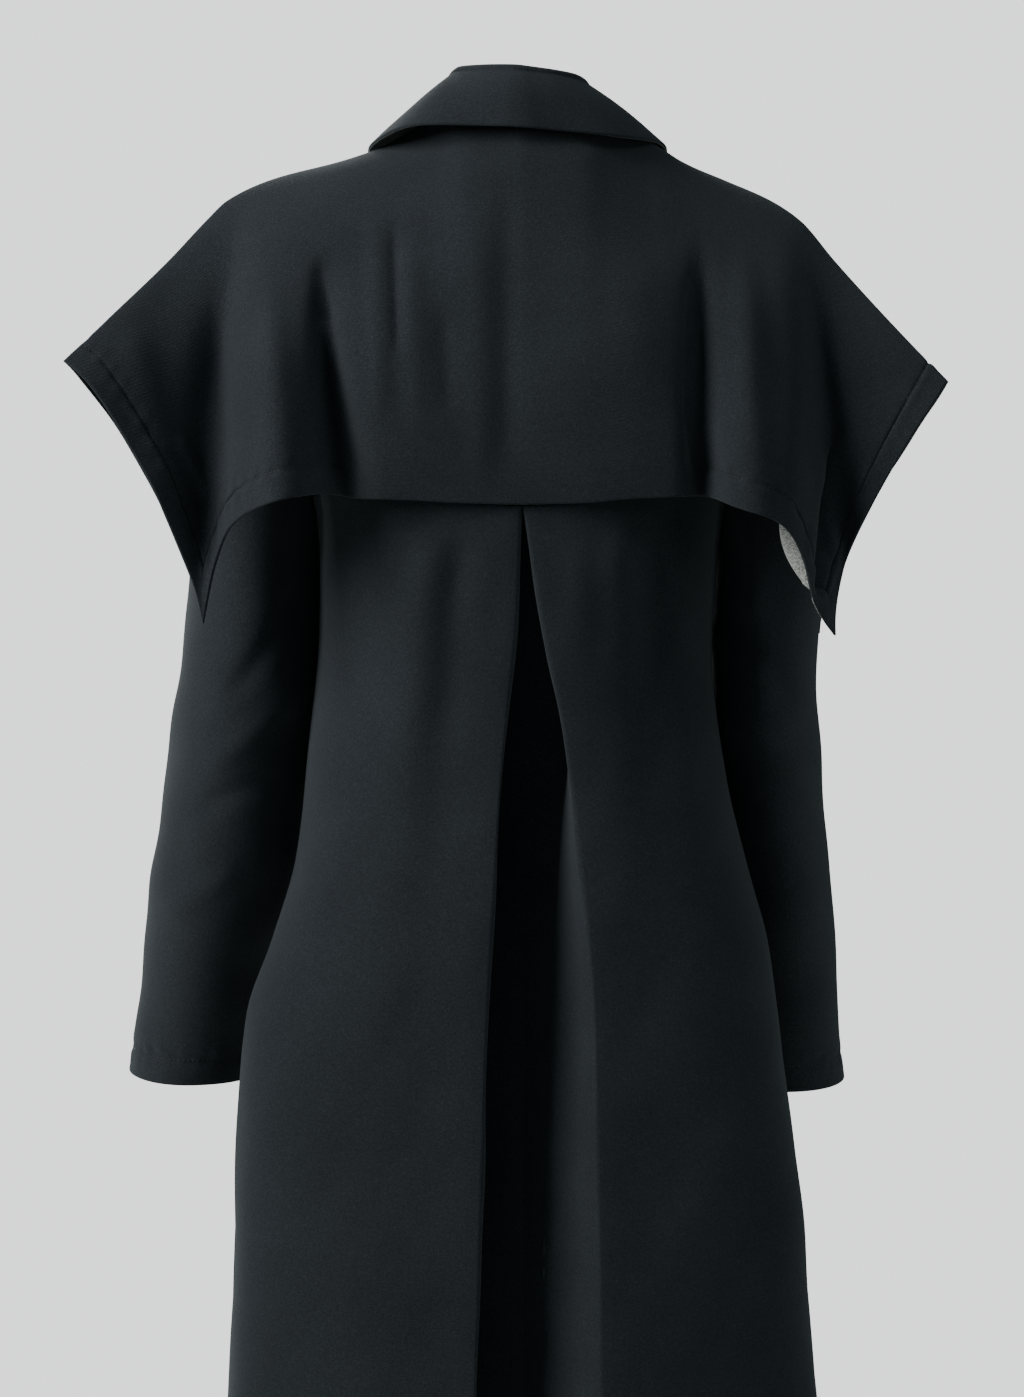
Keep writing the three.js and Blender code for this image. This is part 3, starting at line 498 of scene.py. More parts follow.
def seam_height(x):
    """The yoke seam: level at the sides and a little lower at the centre back."""
    return CHEST - SEAM_SAG * (1 - smooth(np.abs(x) / 130))


def back_lower_grid():
    """Rows of the skirt's back: half a ring, the pleat, and the other half."""
    skirt = CHEST - HEM
    rows = edged(150, skirt, at=(1 - HEM_BAND / skirt,)) ** 1.15
    z = mix(CHEST, HEM, rows)[:, None]
    top = 1 - smooth((CHEST - z) / 200)

    def half(sign, side):
        edge, pleat_x, pleat_y = pleat_section(z, side)
        end = ring_angle(z, edge + TURN_RADIUS, side, back_squareness(z))
        base = ring_point(z, sign * end)
        lift = gather(base[..., 0], z)
        t = edged(58, 150, last=False)
        panel = ring_point(z, sign * mix(np.pi / 2, end, t**0.85))
        x = panel[..., 0]
        y = np.maximum(panel[..., 1], 0) + gather(x, z)
        y[:, 0] = HALF_SEAM
        low = z + (seam_height(x) - CHEST - HALF_SEAM) * top
        mid = z + (seam_height(0) - CHEST - HALF_SEAM) * top
        panel = points(x, y, low)[:, :-1]
        pleat = points(sign * pleat_x, base[..., 1] + lift + pleat_y, mid)
        return np.concatenate([panel, pleat], 1), base[..., 1] + lift

    left, left_base = half(1, "left")
    right, right_base = half(-1, "right")
    mid = z + (seam_height(0) - CHEST - HALF_SEAM) * top
    middle = points(0, mix(left_base, right_base, 0.5) - read(PLEAT, "z", "floor", z), mid)
    return np.concatenate([left, middle, right[:, ::-1]], 1)


def neck_point(degrees):
    """The neck seam at an angle from the centre back, past the centre front too."""
    size = np.abs(degrees)
    angle = np.where(size > 180, 360 - size, size)
    side = np.sign(degrees) * np.where(size > 180, -1, 1)
    x, y, z = (read(NECK, "angle", axis, angle) for axis in "xyz")
    return points(side * x, y, z)


def front_neck(degrees):
    return smooth((np.abs(degrees) - 85) / 50)


def under_neck(degrees):
    """Neck edge of the under layer, just inside and below the cape's."""
    point = neck_point(degrees)
    point[..., :2] *= NECK_POINT[0] / NECK_WIDE
    point[..., 2] -= mix(UNDER_DROP, UNDER_FRONT_DROP, front_neck(degrees))
    return point


def upper_column(start, end, paths, share, shift, t):
    """Curve from the chest ring up to the neck or shoulder seam."""
    get = lambda column: read(paths, "at", column, share)
    leave = start + points(0, get("rise_y"), get("rise_z"))
    arrive = end + points(shift, get("arrive_y"), get("arrive_z"))
    return bezier(start, leave, arrive, end, t)


def shoulder(sign, t):
    """Straight shoulder seam from the neck point (0) to the shoulder tip (1)."""
    x, z = (mix(NECK_POINT[axis], SHOULDER_TIP[axis], t) for axis in (0, 2))
    return points(sign * x, 0, z)


def back_upper_grid():
    """The yoke's under layer: columns from the chest to the neck and shoulder seams."""
    across = mix(1, -1, edged(84, 420))
    share, sign = np.abs(across), np.where(across < 0, -1.0, 1.0)
    start = ring_point(CHEST, sign * mix(0, np.pi / 2, share))
    start[..., 2] = seam_height(start[..., 0]) + HALF_SEAM
    start[..., 1] = np.maximum(start[..., 1] - WALL / 2 - CLEAR, HALF_SEAM)
    on_neck = under_neck(sign * 90 * clamp(share / NECK_SHARE))
    on_shoulder = shoulder(sign, (share - NECK_SHARE) / (1 - NECK_SHARE))
    end = np.where((share <= NECK_SHARE)[:, None], on_neck, on_shoulder)
    end[..., 1] = np.maximum(end[..., 1], HALF_SEAM)
    t = 1 - edged(44, 260)[:, None, None]
    return upper_column(start, end, BACK_PATHS, share, -TIP_LEAN * sign * share**4, t)


def front_grid(sign, upper):
    """A front from the hem to the neck and shoulder: ring columns below the chest, curves above."""
    share = edged(72, 340, at=(1 - 6 / 340,))
    past = "right" if sign > 0 else "left"

    def ring_at(z):
        beyond = ring_angle(z, LAP_X, past, FRONT_SQUARENESS)
        point = ring_point(z, sign * mix(np.pi / 2, np.pi + beyond, share**0.95))
        point[..., 1] = np.minimum(point[..., 1], -HALF_SEAM)
        return point

    t = (share - NECK_SHARE) / (1 - NECK_SHARE)
    on_neck = under_neck(sign * mix(90, 198, clamp(t)))
    on_shoulder = shoulder(sign, 1 - clamp(share / NECK_SHARE))
    end = np.where((share >= NECK_SHARE)[:, None], on_neck, on_shoulder)
    end[..., 1] = np.minimum(end[..., 1], -HALF_SEAM)
    start = ring_at(np.array([CHEST]))
    rise = 1 - edged(40, 260, last=False)[:, None, None]
    upper_part = upper_column(start, end, FRONT_PATHS, share, -TIP_LEAN * sign * (1 - share) ** 4, rise)
    skirt = CHEST - HEM
    fall = edged(110, skirt, first=False, at=(1 - HEM_BAND / skirt,))[1:] ** 1.1
    grid = np.concatenate([upper_part, ring_at(mix(CHEST, HEM, fall)[:, None])])
    if not upper:
        reach = smooth((56 - sign * grid[..., 0]) / 24)
        height = grid[..., 2] - CHEST
        grid[..., 1] += LAP * reach * (1 + 0.5 * smooth(height / 90))
        grid[..., 2] -= LAP * reach * smooth(height / 140)
    return grid


def armhole(sign, turn):
    """Closed armhole edge: from the shoulder tip over the back to the armpit and forward."""
    behind = turn <= 0.5
    share = np.where(behind, 1 - 2 * turn, 2 * turn - 1)[..., None]
    start = ring_point(CHEST, sign * np.pi / 2)
    start[1] = 0
    end = np.array(SHOULDER_TIP) * (sign, 1, 1)
    back = upper_column(start, end, BACK_PATHS, 1.0, -TIP_LEAN * sign, share)
    front = upper_column(start, end, FRONT_PATHS, 0.0, -TIP_LEAN * sign, share)
    point = np.where(behind[..., None], back, front)
    point[..., 0] += sign * mix(1.7, WALL + CLEAR, smooth((1 - share[..., 0]) * 1.6))
    return point


def sleeve_grid(sign, rows):
    """A head blended from the armhole to the first ring, then leaning elliptical rings."""
    turn = (np.arange(104) / 104)[None, :]
    first, last = rows["z"][0], rows["z"][-1]
    angle = 2 * np.pi * turn

    def ring_at(z):
        get = lambda column: read(rows, "z", column, z)
        span = (z - first) / (last - first)
        lean = mix(0.1, 0.32, smooth(span * 2)) - 0.17 * smooth(2 * span - 1)
        x, y = get("across") * np.cos(angle), get("deep") * np.sin(angle)
        return points(get("x") + sign * x, get("y") + y, z - y * lean)

    start = armhole(sign, turn)
    end, below = ring_at(np.array([[first]])), ring_at(np.array([[first - 40.0]]))
    slope = (below - end) * ((start[..., 2:] - end[..., 2:]) / 120)
    top, side = 0.5 + 0.5 * np.cos(angle), np.sin(angle)
    reach = points(sign * mix(2, 26, top), 8 * side, -mix(8, 22, top))
    t = edged(58, 230, last=False)[:, None, None]
    head = bezier(start, start + reach, end - slope, end, t)
    cuff = 1 - CUFF_BAND / SLEEVE_LENGTH
    fall = edged(84, SLEEVE_LENGTH, first=False, at=(cuff,))[1:, None]
    return np.concatenate([head, ring_at(mix(first, last, fall))])


def cape_fold(x, z):
    """Sum of bell-shaped ridges along lines in the X-Z plane, growing towards the hem."""
    total = 0 * x
    for from_x, from_z, to_x, to_z, width, height in zip(*CAPE_FOLDS.values()):
        dx, dz = to_x - from_x, to_z - from_z
        length = np.hypot(dx, dz)
        along = ((x - from_x) * dx + (z - from_z) * dz) / length
        off = ((x - from_x) * dz - (z - from_z) * dx) / length
        reach = off / (width * mix(0.55, 1, clamp(along / length)))
        total = total + height * smooth(along / (0.55 * length)) * np.exp(-reach * reach)
    return total


def softened(grid, strength, reach=7):
    """The grid with its points moved towards the mean of their neighbours across, by strength."""
    wide = np.pad(grid, ((0, 0), (reach, reach), (0, 0)), mode="edge")
    mean = np.mean([wide[:, i : i + grid.shape[1]] for i in range(2 * reach + 1)], axis=0)
    return mix(grid, mean, strength[..., None])


def tucked(seam):
    """How far a column of the right wing takes part in the tuck."""
    return np.exp(-(((seam + TUCK_SEAM) / TUCK_WIDTH) ** 2))


def cape_grid(rows, at, behind, down):
    """Columns of cloth, each a cubic curve from the neck or overarm seam to the hem."""
    last = len(rows["seam"]) - 1
    keyed = dict(rows, row=np.arange(last + 1.0))
    part = lambda name: points(*(read(keyed, "row", name + "_" + axis, at) for axis in "xyz"))
    low, high = np.floor(at).astype(int), np.ceil(at).astype(int)
    between = lambda name: mix(rows[name][low], rows[name][high], at - low)
    neck, seam = between("neck"), between("seam")
    bare = np.isnan(neck)
    on_neck = neck_point(np.where(bare, 0, neck))
    on_neck[:, 2] += mix(CAPE_LIFT, CAPE_FRONT_LIFT, front_neck(np.where(bare, 0, neck)))
    x = np.where(bare, seam, 0)
    over = lambda axis: np.where(
        x > 0, read(OVERARM_LEFT, "x", axis, np.abs(x)), read(OVERARM_RIGHT, "x", axis, np.abs(x))
    )
    sideways = HALF_SEAM if behind else -HALF_SEAM
    top = np.where(bare[:, None], points(x, over("y") + sideways, over("z")), on_neck)
    t = down[:, None, None]
    grid = bezier(top, part("leave"), part("arrive"), part("hem"), t)
    corners = np.flatnonzero(~np.isnan(rows["neck"]) & ~np.isnan(rows["seam"]))
    corner = np.exp(-(((at[:, None] - corners) / 0.75) ** 2)).max(1)
    spread = smooth(down / 0.12) * (1 - smooth((down - 0.85) / 0.15))
    grid = softened(softened(grid, spread[:, None] * corner), spread[:, None] * corner)
    fold = cape_fold(grid[..., 0], grid[..., 2]) * smooth(down * 1.6)[:, None]
    grid[..., 1] += fold if behind else -0.8 * np.abs(fold)
    if behind:
        # The right wing's hem doubles back under itself and shows a little of its grey inside
        z = grid[..., 2]
        lower = smooth((-215 - z) / 50) * (1 - clamp((-272 - z) / 55) ** 2)
        grid[..., 0] += TUCK_REACH * tucked(np.where(bare, seam, 0)) * lower
    return grid


def collar_grid():
    """Stand, roll and fall of the collar, carried round the neck seam."""
    degrees = mix(173, -173, edged(150, 460))[:, None]
    angle = np.abs(degrees)
    foot = neck_point(degrees)
    ahead, back = neck_point(degrees - 2), neck_point(degrees + 2)
    out = unit(points(ahead[..., 1] - back[..., 1], back[..., 0] - ahead[..., 0], 0))
    facing = out[..., :1] * foot[..., :1] + out[..., 1:2] * (foot[..., 1:2] + 10)
    out = np.where(facing < 0, -out, out)
    get = lambda column: read(COLLAR, "angle", column, angle)
    stand = edged(10, 26, last=False)[None, :-1]
    roll = np.linspace(0, 1, 12)[None, :]
    fall = edged(22, 46, first=False)[None, 1:]
    top_out, top_up = get("stand_out"), get("stand_up")
    bulge = get("bulge") * np.sin(np.pi * fall)
    o = [
        top_out * stand,
        top_out + ROLL_RADIUS * (1 - np.cos(np.pi * roll)),
        mix(top_out + 2 * ROLL_RADIUS, get("edge_out"), fall) + bulge,
    ]
    up = [
        mix(STAND_LIFT, top_up, stand),
        top_up + ROLL_RADIUS * np.sin(np.pi * roll),
        mix(top_up, get("edge_up"), fall) + bulge,
    ]
    o, up = np.concatenate(o, 1), np.concatenate(up, 1)
    step = np.concatenate([2 * stand, 2 + 4 * roll, 6 + 4 * fall], 1)
    free = smooth(step / 4)
    grid = foot + out * o[..., None] + points(0, 0, up)
    grid[..., 2] += COLLAR_TILT * grid[..., 0] * free * (1 - smooth((angle - 40) / 45))
    grid[..., 0] += COLLAR_SHIFT * free * (1 - smooth((angle - 110) / 50))
    return grid


def creases(x, z, rows):
    """Sum of troughs and ridges along lines in a plane: a bell on one side and, where it is keen,
    a falling exponential on the other, fading in and out at both ends of the line."""
    total = 0 * x
    for from_x, from_z, to_x, to_z, left, right, height, keen, bow in zip(*rows.values()):
        dx, dz = to_x - from_x, to_z - from_z
        length = np.hypot(dx, dz)
        along = ((x - from_x) * dx + (z - from_z) * dz) / length**2
        off = ((x - from_x) * dz - (z - from_z) * dx) / length
        off = off - bow * (1 - (2 * clamp(along) - 1) ** 2)
        on_left = off > 0
        sharp = on_left if keen < 0 else ~on_left
        reach = np.abs(off) / np.where(on_left, left, right)
        bell = np.exp(-reach ** np.where(sharp, abs(keen), 2.0))
        ends = smooth((along + 0.12) / 0.3) * smooth((1.12 - along) / 0.3)
        total = total + height * bell * ends
    return total


def uneven(grid, height, size, seed):
    """Slow unevenness of cloth: seven waves in random directions, about size apart."""
    rng = np.random.default_rng(seed)
    ways = unit(rng.normal(size=(7, 3))) * (2 * np.pi / (size * rng.uniform(0.7, 1.8, (7, 1))))
    waves = np.sin(grid @ ways.T + rng.uniform(0, 2 * np.pi, 7))
    return height * waves.sum(-1) / np.sqrt(7)


def normals(grid, closed=False):
    """Cross product of the directions across and down the grid."""
    if closed:
        across = np.roll(grid, -1, 1) - np.roll(grid, 1, 1)
    else:
        across = np.gradient(grid, axis=1)
    return unit(np.cross(across, np.gradient(grid, axis=0)))


def edge_distances(grid, closed=False):
    """Distance over the cloth from the first row, last row, first column and last column."""
    down = np.linalg.norm(np.diff(grid, axis=0), axis=-1)
    across = np.linalg.norm(np.diff(grid, axis=1), axis=-1)
    down = np.concatenate([np.zeros((1, grid.shape[1])), np.cumsum(down, 0)])
    across = np.concatenate([np.zeros((grid.shape[0], 1)), np.cumsum(across, 1)], 1)
    far = {"first": down, "last": down[-1:] - down, "start": across, "end": across[:, -1:] - across}
    if closed:
        far["start"] = far["end"] = np.full(grid.shape[:2], 1e4)
    return far


def make_mesh(name, verts, faces, materials, index=None, uv=None):
    """Puts whole arrays into a smooth-shaded mesh object at the origin; verts are millimetres."""
    mesh = bpy.data.meshes.new(name)
    mesh.from_pydata((np.asarray(verts) * MM).tolist(), [], np.asarray(faces).tolist())
    for material in materials:
        mesh.materials.append(material)
    if index is not None:
        mesh.polygons.foreach_set("material_index", np.asarray(index, np.int32))
    mesh.polygons.foreach_set("use_smooth", np.ones(len(faces), bool))
    if uv is not None:
        layer = mesh.uv_layers.new(name="cloth")
        loops = np.empty(len(mesh.loops), np.int32)
        mesh.loops.foreach_get("vertex_index", loops)
        layer.data.foreach_set("uv", (uv[loops] * MM).astype(np.float32).ravel())
    mesh.update()
    piece = bpy.data.objects.new(name, mesh)
    bpy.context.scene.collection.objects.link(piece)
    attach(piece, "root")
    return piece


def cloth(name, grid, outward, push=0.0, hold={}, hems={}, closed=False, pale=None):
    """A shell of cloth on its middle surface: outer and inner skins half the wall to each side
    along the normals, thinned in a quarter circle towards the cut edges and closed by a strip.
    push moves the middle surface along its normals and fades to nothing within hold of an edge.
    hems names the hemmed edges, each with how free it is there, from 0 to 1.
    Hems are turned up: thicker, with a shallow groove at their stitch line and a dark inside,
    but for the columns named in pale."""
    settings = bpy.context.scene.coat_cloth
    wall, turned = settings.wall / MM, settings.hem / MM
    way = normals(grid, closed)
    rows, columns = grid.shape[:2]
    flip = bool(np.sum(way * outward(grid)) < 0)
    if flip:
        way = -way
    far = edge_distances(grid, closed)
    for side, reach in hold.items():
        push = push * smooth(far[side] / reach)
    hem_near = np.full(grid.shape[:2], 1e4)
    free = np.ones(grid.shape[:2])
    for side, weight in hems.items():
        closer = far[side] < hem_near
        hem_near = np.where(closer, far[side], hem_near)
        free = np.where(closer, weight + 0 * far[side], free)
    step = 1 - smooth((hem_near - turned + 2) / 3)
    groove = np.exp(-(((hem_near - turned) / GROOVE_WIDTH) ** 2))
    pucker = uneven(grid, PUCKER, PUCKER_SIZE, 71)
    pucker = pucker * np.exp(-(((hem_near - turned) / PUCKER_SIZE) ** 2))
    push = push + free * (HEM_STEP * step - HEM_GROOVE * groove + pucker)
    middle = grid + way * push[..., None]
    way = normals(middle, closed) * (-1 if flip else 1)
    near = np.minimum.reduce(list(far.values()))
    round_off = np.sqrt(1 - (1 - clamp(near / (wall / 2))) ** 2)
    half = (wall / 2 * mix(EDGE_WALL, 1, round_off))[..., None]
    outer, inner = middle + way * half, middle - way * half
    ids = np.arange(rows * columns).reshape(rows, columns)
    if closed:
        ids = np.concatenate([ids, ids[:, :1]], 1)
    quads = np.stack([ids[:-1, :-1], ids[:-1, 1:], ids[1:, 1:], ids[1:, :-1]], -1).reshape(-1, 4)
    under = rows * columns
    rims = [(ids[0, :-1], ids[0, 1:]), (ids[-1, 1:], ids[-1, :-1])]
    if not closed:
        rims += [(ids[1:, 0], ids[:-1, 0]), (ids[:-1, -1], ids[1:, -1])]
    strips = np.concatenate([np.stack([b, a, a + under, b + under], -1) for a, b in rims])
    faces = np.concatenate([quads, quads[:, ::-1] + under, strips])
    if flip:
        faces = faces[:, ::-1]
    if pale is not None:
        hem_near = np.where(pale, 1e4, hem_near)
    dark = (hem_near.reshape(-1)[quads].mean(1) < turned) if hems else np.zeros(len(quads), bool)
    index = np.concatenate([np.zeros(len(quads)), np.where(dark, 0, 1), np.zeros(len(strips))])
    across = np.mean(far["start"], 0) if not closed else np.arange(columns) * 3.0
    uv = points(np.broadcast_to(across, grid.shape[:2]), far["first"], 0)[..., :2].reshape(-1, 2)
    verts = np.concatenate([outer.reshape(-1, 3), inner.reshape(-1, 3)])
    looks = (wool_outside(), wool_inside())
    piece = make_mesh(name, verts, faces, looks, index, np.concatenate([uv, uv]))
    return piece, outer, way, far


def stitches(name, paths, pitch=3.4, length=2.5, radius=0.32):
    """Sewing thread: a small six-sided bead, drawn out along the path, at every pitch."""
    around = np.arange(6) * np.pi / 3
    profile = ((-1.0, 0.0), (-0.6, 0.85), (0.6, 0.85), (1.0, 0.0))
    ring = np.concatenate([points(a, b * np.cos(around), b * np.sin(around)) for a, b in profile])
    k = np.arange(6)
    faces = np.concatenate([
        np.stack([r * 6 + k, r * 6 + (k + 1) % 6, r * 6 + 6 + (k + 1) % 6, r * 6 + 6 + k], -1)
        for r in range(3)
    ])
    verts, quads, count = [], [], 0
    for path, way in paths:
        run = np.concatenate([[0], np.cumsum(np.linalg.norm(np.diff(path, axis=0), axis=1))])
        spots = np.arange(pitch, run[-1] - pitch, pitch)
        at = lambda data, s: np.stack([np.interp(s, run, data[:, i]) for i in range(3)], -1)
        centre, up = at(path, spots), unit(at(way, spots))
        along = unit(at(path, spots + 0.5) - at(path, spots - 0.5))
        side = np.cross(up, along)
        local = ring[None] * (length / 2, radius, radius)
        bead = (
            centre[:, None]
            + along[:, None] * local[..., :1]
            + up[:, None] * local[..., 1:2]
            + side[:, None] * local[..., 2:]
        )
        verts.append(bead.reshape(-1, 3))
        start = count + np.arange(len(spots))[:, None, None] * len(ring)
        quads.append((faces[None] + start).reshape(-1, 4))
        count += len(spots) * len(ring)
    piece = make_mesh(name, np.concatenate(verts), np.concatenate(quads), (thread(),))
    return piece


def sewn_line(outer, way, far, side, wanted, others=(), part=None):
    """The path on a skin at a wanted distance from one edge: between the two grid points of each
    row or column where the distance passes it, kept where it is as far from the other edges."""
    skin = np.concatenate([outer, way, points(*(far[k] for k in ("first", "last", "start"))),
                           far["end"][..., None]], -1)
    distance = far[side]
    if side in ("start", "end"):
        skin, distance = skin.transpose(1, 0, 2), distance.T
    if side in ("first", "start"):
        skin, distance = skin[::-1], distance[::-1]
    row = np.clip(np.sum(distance > wanted, 0) - 1, 0, len(distance) - 2)
    line = np.arange(distance.shape[1])
    above, below = distance[row, line], distance[row + 1, line]
    t = clamp((above - wanted) / np.maximum(above - below, 1e-6))[:, None]
    path = mix(skin[row, line], skin[row + 1, line], t)
    keep = above > wanted
    for other in others:
        keep &= path[:, 6 + ("first", "last", "start", "end").index(other)] > wanted
    if part is not None:
        keep &= part(path)
    path = path[keep]
    return path[:, :3] + 0.05 * path[:, 3:6], path[:, 3:6]


class Look:
    """A new material whose nodes are added one by one; place is the object's own coordinates."""

    def __init__(self, name):
        self.material = bpy.data.materials.new(name)
        self.material.use_nodes = True
        self.nodes, self.links = self.material.node_tree.nodes, self.material.node_tree.links
        self.shader = self.nodes["Principled BSDF"]
        self.place = self.nodes.new("ShaderNodeTexCoord").outputs["Object"]

    def add(self, kind, out, links={}, **values):
        """Adds a node, links sockets to its inputs and sets the others by name, spaces as _."""
        node = self.nodes.new(kind)
        for name, value in values.items():
            node.inputs[name.replace("_", " ")].default_value = value
        for name, socket in links.items():
            self.links.new(socket, node.inputs[name])
        return node.outputs[out]

    def set(self, **values):
        """Sets the shader's own sockets: a number or a colour is set, a socket is linked."""
        for name, value in values.items():
            socket = self.shader.inputs[name.replace("_", " ")]
            if isinstance(value, bpy.types.NodeSocket):
                self.links.new(value, socket)
            else:
                socket.default_value = value

    def noise(self, vector, scale, detail=2.0, rough=0.55):
        return self.add(
            "ShaderNodeTexNoise", "Fac", {"Vector": vector},
            Scale=scale, Detail=detail, Roughness=rough,
        )

    def ramp(self, value, *stops):
        node = self.nodes.new("ShaderNodeValToRGB")
        scale = node.color_ramp
        while len(scale.elements) < len(stops):
            scale.elements.new(0.5)
        for element, (place, colour) in zip(scale.elements, stops):
            element.position = place
            element.color = (*colour, 1)
        self.links.new(value, node.inputs["Fac"])
        return node.outputs["Color"]

    def blend(self, kind, a, b):
        node = self.nodes.new("ShaderNodeMix")
        node.data_type = "RGBA"
        node.blend_type = kind
        node.inputs["Factor"].default_value = 1.0
        self.links.new(a, node.inputs["A"])
        self.links.new(b, node.inputs["B"])
        return node.outputs["Result"]

    def bump(self, height, distance, strength, under=None):
        links = {"Height": height} if under is None else {"Height": height, "Normal": under}
        return self.add("ShaderNodeBump", "Normal", links, Distance=distance, Strength=strength)

    def laid(self, turn, stretch):
        """The cloth's own map, turned and drawn out."""
        uv = self.nodes.new("ShaderNodeUVMap")
        uv.uv_map = "cloth"
        return self.add(
            "ShaderNodeMapping", "Vector", {"Vector": uv.outputs["UV"]},
            Rotation=(0, 0, turn), Scale=(1, stretch, 1),
        )

    def twill(self, scale):
        """Diagonal rib of a twill weave."""
        return self.add(
            "ShaderNodeTexWave", "Fac", {"Vector": self.laid(1.05, 1)},
            Scale=scale, Distortion=2.0, Detail=2.0, Detail_Scale=1.5,
        )

    def fibres(self, turn, scale, stretch):
        """Long thin noise, as the lie of loose fibres."""
        return self.noise(self.laid(turn, stretch), scale, 2.0, 0.6)


def grey(value):
    return (value,) * 3


def times(factor, colour):
    return tuple(factor * value for value in colour)


def once(make):
    """Makes a material on the first call and gives the same one afterwards."""
    kept = []

    def get():
        if not kept:
            kept.append(make())
        return kept[0]

    return get


@once
def wool_outside():
    """Napped black wool: a soft clumpy nap, the twill under it, loose fibres and a dusty sheen."""
    settings = bpy.context.scene.coat_cloth
    look = Look("napped_wool")
    dark = tuple(settings.wool)
    clump = look.noise(look.place, 820.0, 4.0, 0.6)
    cloud = look.noise(look.place, 14.0, 3.0, 0.5)
    base = look.ramp(clump, (0.32, times(0.7, dark)), (0.52, dark), (0.74, times(1.6, dark)))
    wear = look.ramp(cloud, (0.3, (0.82, 0.84, 0.86)), (0.7, (1.16, 1.16, 1.14)))
    stray = look.fibres(0.5, 260.0, 6.0)
    lint = look.ramp(stray, (0.7, (0, 0, 0)), (0.8, (0.05, 0.053, 0.056)))
    weave = look.bump(look.twill(160.0), 0.0002, 0.35)
    nap = look.bump(clump, 0.0006, 0.5, weave)
    look.set(
        Base_Color=look.blend("ADD", look.blend("MULTIPLY", base, wear), lint),
        Roughness=look.ramp(clump, (0.3, grey(0.98)), (0.75, grey(0.82))),
        Specular_IOR_Level=0.22,
        Sheen_Weight=settings.sheen,
        Sheen_Roughness=0.55,
        Sheen_Tint=(0.62, 0.68, 0.72, 1),
        Normal=look.bump(stray, 0.0005, 0.4, nap),
    )
    return look.material


@once
def wool_inside():
    """Pale grey marl, the cloth's other face: mixed fibres with black and white flecks."""
    look = Look("grey_marl")
    marl = tuple(bpy.context.scene.coat_cloth.marl)
    fine = look.noise(look.place, 900.0, 3.0, 0.6)
    fleck = look.fibres(0.9, 420.0, 4.0)
    base = look.ramp(fine, (0.3, times(0.35, marl)), (0.48, marl), (0.72, times(1.7, marl)))
    black = look.ramp(fleck, (0.3, grey(0.08)), (0.42, grey(1)))
    weave = look.bump(look.twill(160.0), 0.0003, 0.6)
    look.set(
        Base_Color=look.blend("MULTIPLY", base, black),
        Roughness=0.95,
        Specular_IOR_Level=0.2,
        Sheen_Weight=0.25,
        Sheen_Roughness=0.6,
        Normal=look.bump(fine, 0.0009, 0.8, weave),
    )
    return look.material


@once
def thread():
    """Black sewing thread with a faint twist."""
    look = Look("black_thread")
    twist = look.noise(look.place, 2600.0)
    look.set(
        Base_Color=look.ramp(twist, (0.3, grey(0.004)), (0.7, (0.018, 0.019, 0.02))),
        Roughness=0.5,
        Normal=look.bump(twist, 0.0002, 0.6),
    )
    return look.material


@once
def horn():
    """Dark polished horn with paler streaks and fine scratches."""
    look = Look("dark_horn")
    dark = tuple(bpy.context.scene.coat_buttons.colour)
    lay = look.add("ShaderNodeMapping", "Vector", {"Vector": look.place}, Scale=(1, 1, 6))
    streak = look.noise(lay, 60.0, 5.0, 0.65)
    scratch = look.noise(look.place, 900.0, 3.0)
    look.set(
        Base_Color=look.ramp(
            streak, (0.38, dark), (0.62, times(2.6, dark)), (0.8, (0.09, 0.07, 0.05))
        ),
        Roughness=look.ramp(scratch, (0.3, grey(0.24)), (0.75, grey(0.42))),
        Normal=look.bump(scratch, 0.0001, 0.25),
    )
    return look.material


def pale_floor(colour):
    """Matt painted floor with a faint grain."""
    look = Look("pale_floor")
    grain = look.noise(look.place, 40.0, 4.0)
    tone = times(0.9, colour)
    look.set(
        Base_Color=look.ramp(grain, (0.2, times(0.96, tone)), (0.8, tone)),
        Roughness=0.9,
        Normal=look.bump(grain, 0.001, 0.2),
    )
    return look.material


def from_axis(grid):
    """Directions away from the upright axis of the body."""
    return points(grid[..., 0], grid[..., 1], 0 * grid[..., 0])


def declare(piece, node, *sewn):
    """Hides the solid that the cloth stands for; the cloth piece and the stitches passed in are not
    used.
    """
    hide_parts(node)


def cloth_settings(context):
    """Height of the cloth's waves and depth of its hems, in millimetres."""
    settings = context.scene.coat_cloth
    return settings.unevenness / MM, settings.hem / MM


class CoatCloth(bpy.types.PropertyGroup):
    wall: bpy.props.FloatProperty(
        name="Cloth thickness", description="Thickness of the wool cloth", default=0.0024,
        min=0.001, max=0.003, subtype="DISTANCE", unit="LENGTH")
    hem: bpy.props.FloatProperty(
        name="Hem depth", description="How far the hems are turned up, to their stitch line",
        default=0.0195, min=0.01, max=0.05, subtype="DISTANCE", unit="LENGTH")
    unevenness: bpy.props.FloatProperty(
        name="Unevenness", description="Height of the slow waves in the cloth", default=0.0009,
        min=0.0, max=0.003, subtype="DISTANCE", unit="LENGTH")
    wool: bpy.props.FloatVectorProperty(
        name="Wool", description="Colour of the napped outside", default=(0.0145, 0.0182, 0.0218),
        min=0.0, max=1.0, size=3, subtype="COLOR")
    marl: bpy.props.FloatVectorProperty(
        name="Marl", description="Colour of the grey inside", default=(0.36, 0.37, 0.345),
        min=0.0, max=1.0, size=3, subtype="COLOR")
    sheen: bpy.props.FloatProperty(
        name="Sheen", description="How much the nap catches light at grazing angles",
        default=0.12, min=0.0, max=1.0, subtype="FACTOR")


class CoatButtons(bpy.types.PropertyGroup):
    colour: bpy.props.FloatVectorProperty(
        name="Horn", description="Colour of the buttons", default=(0.012, 0.010, 0.009),
        min=0.0, max=1.0, size=3, subtype="COLOR")


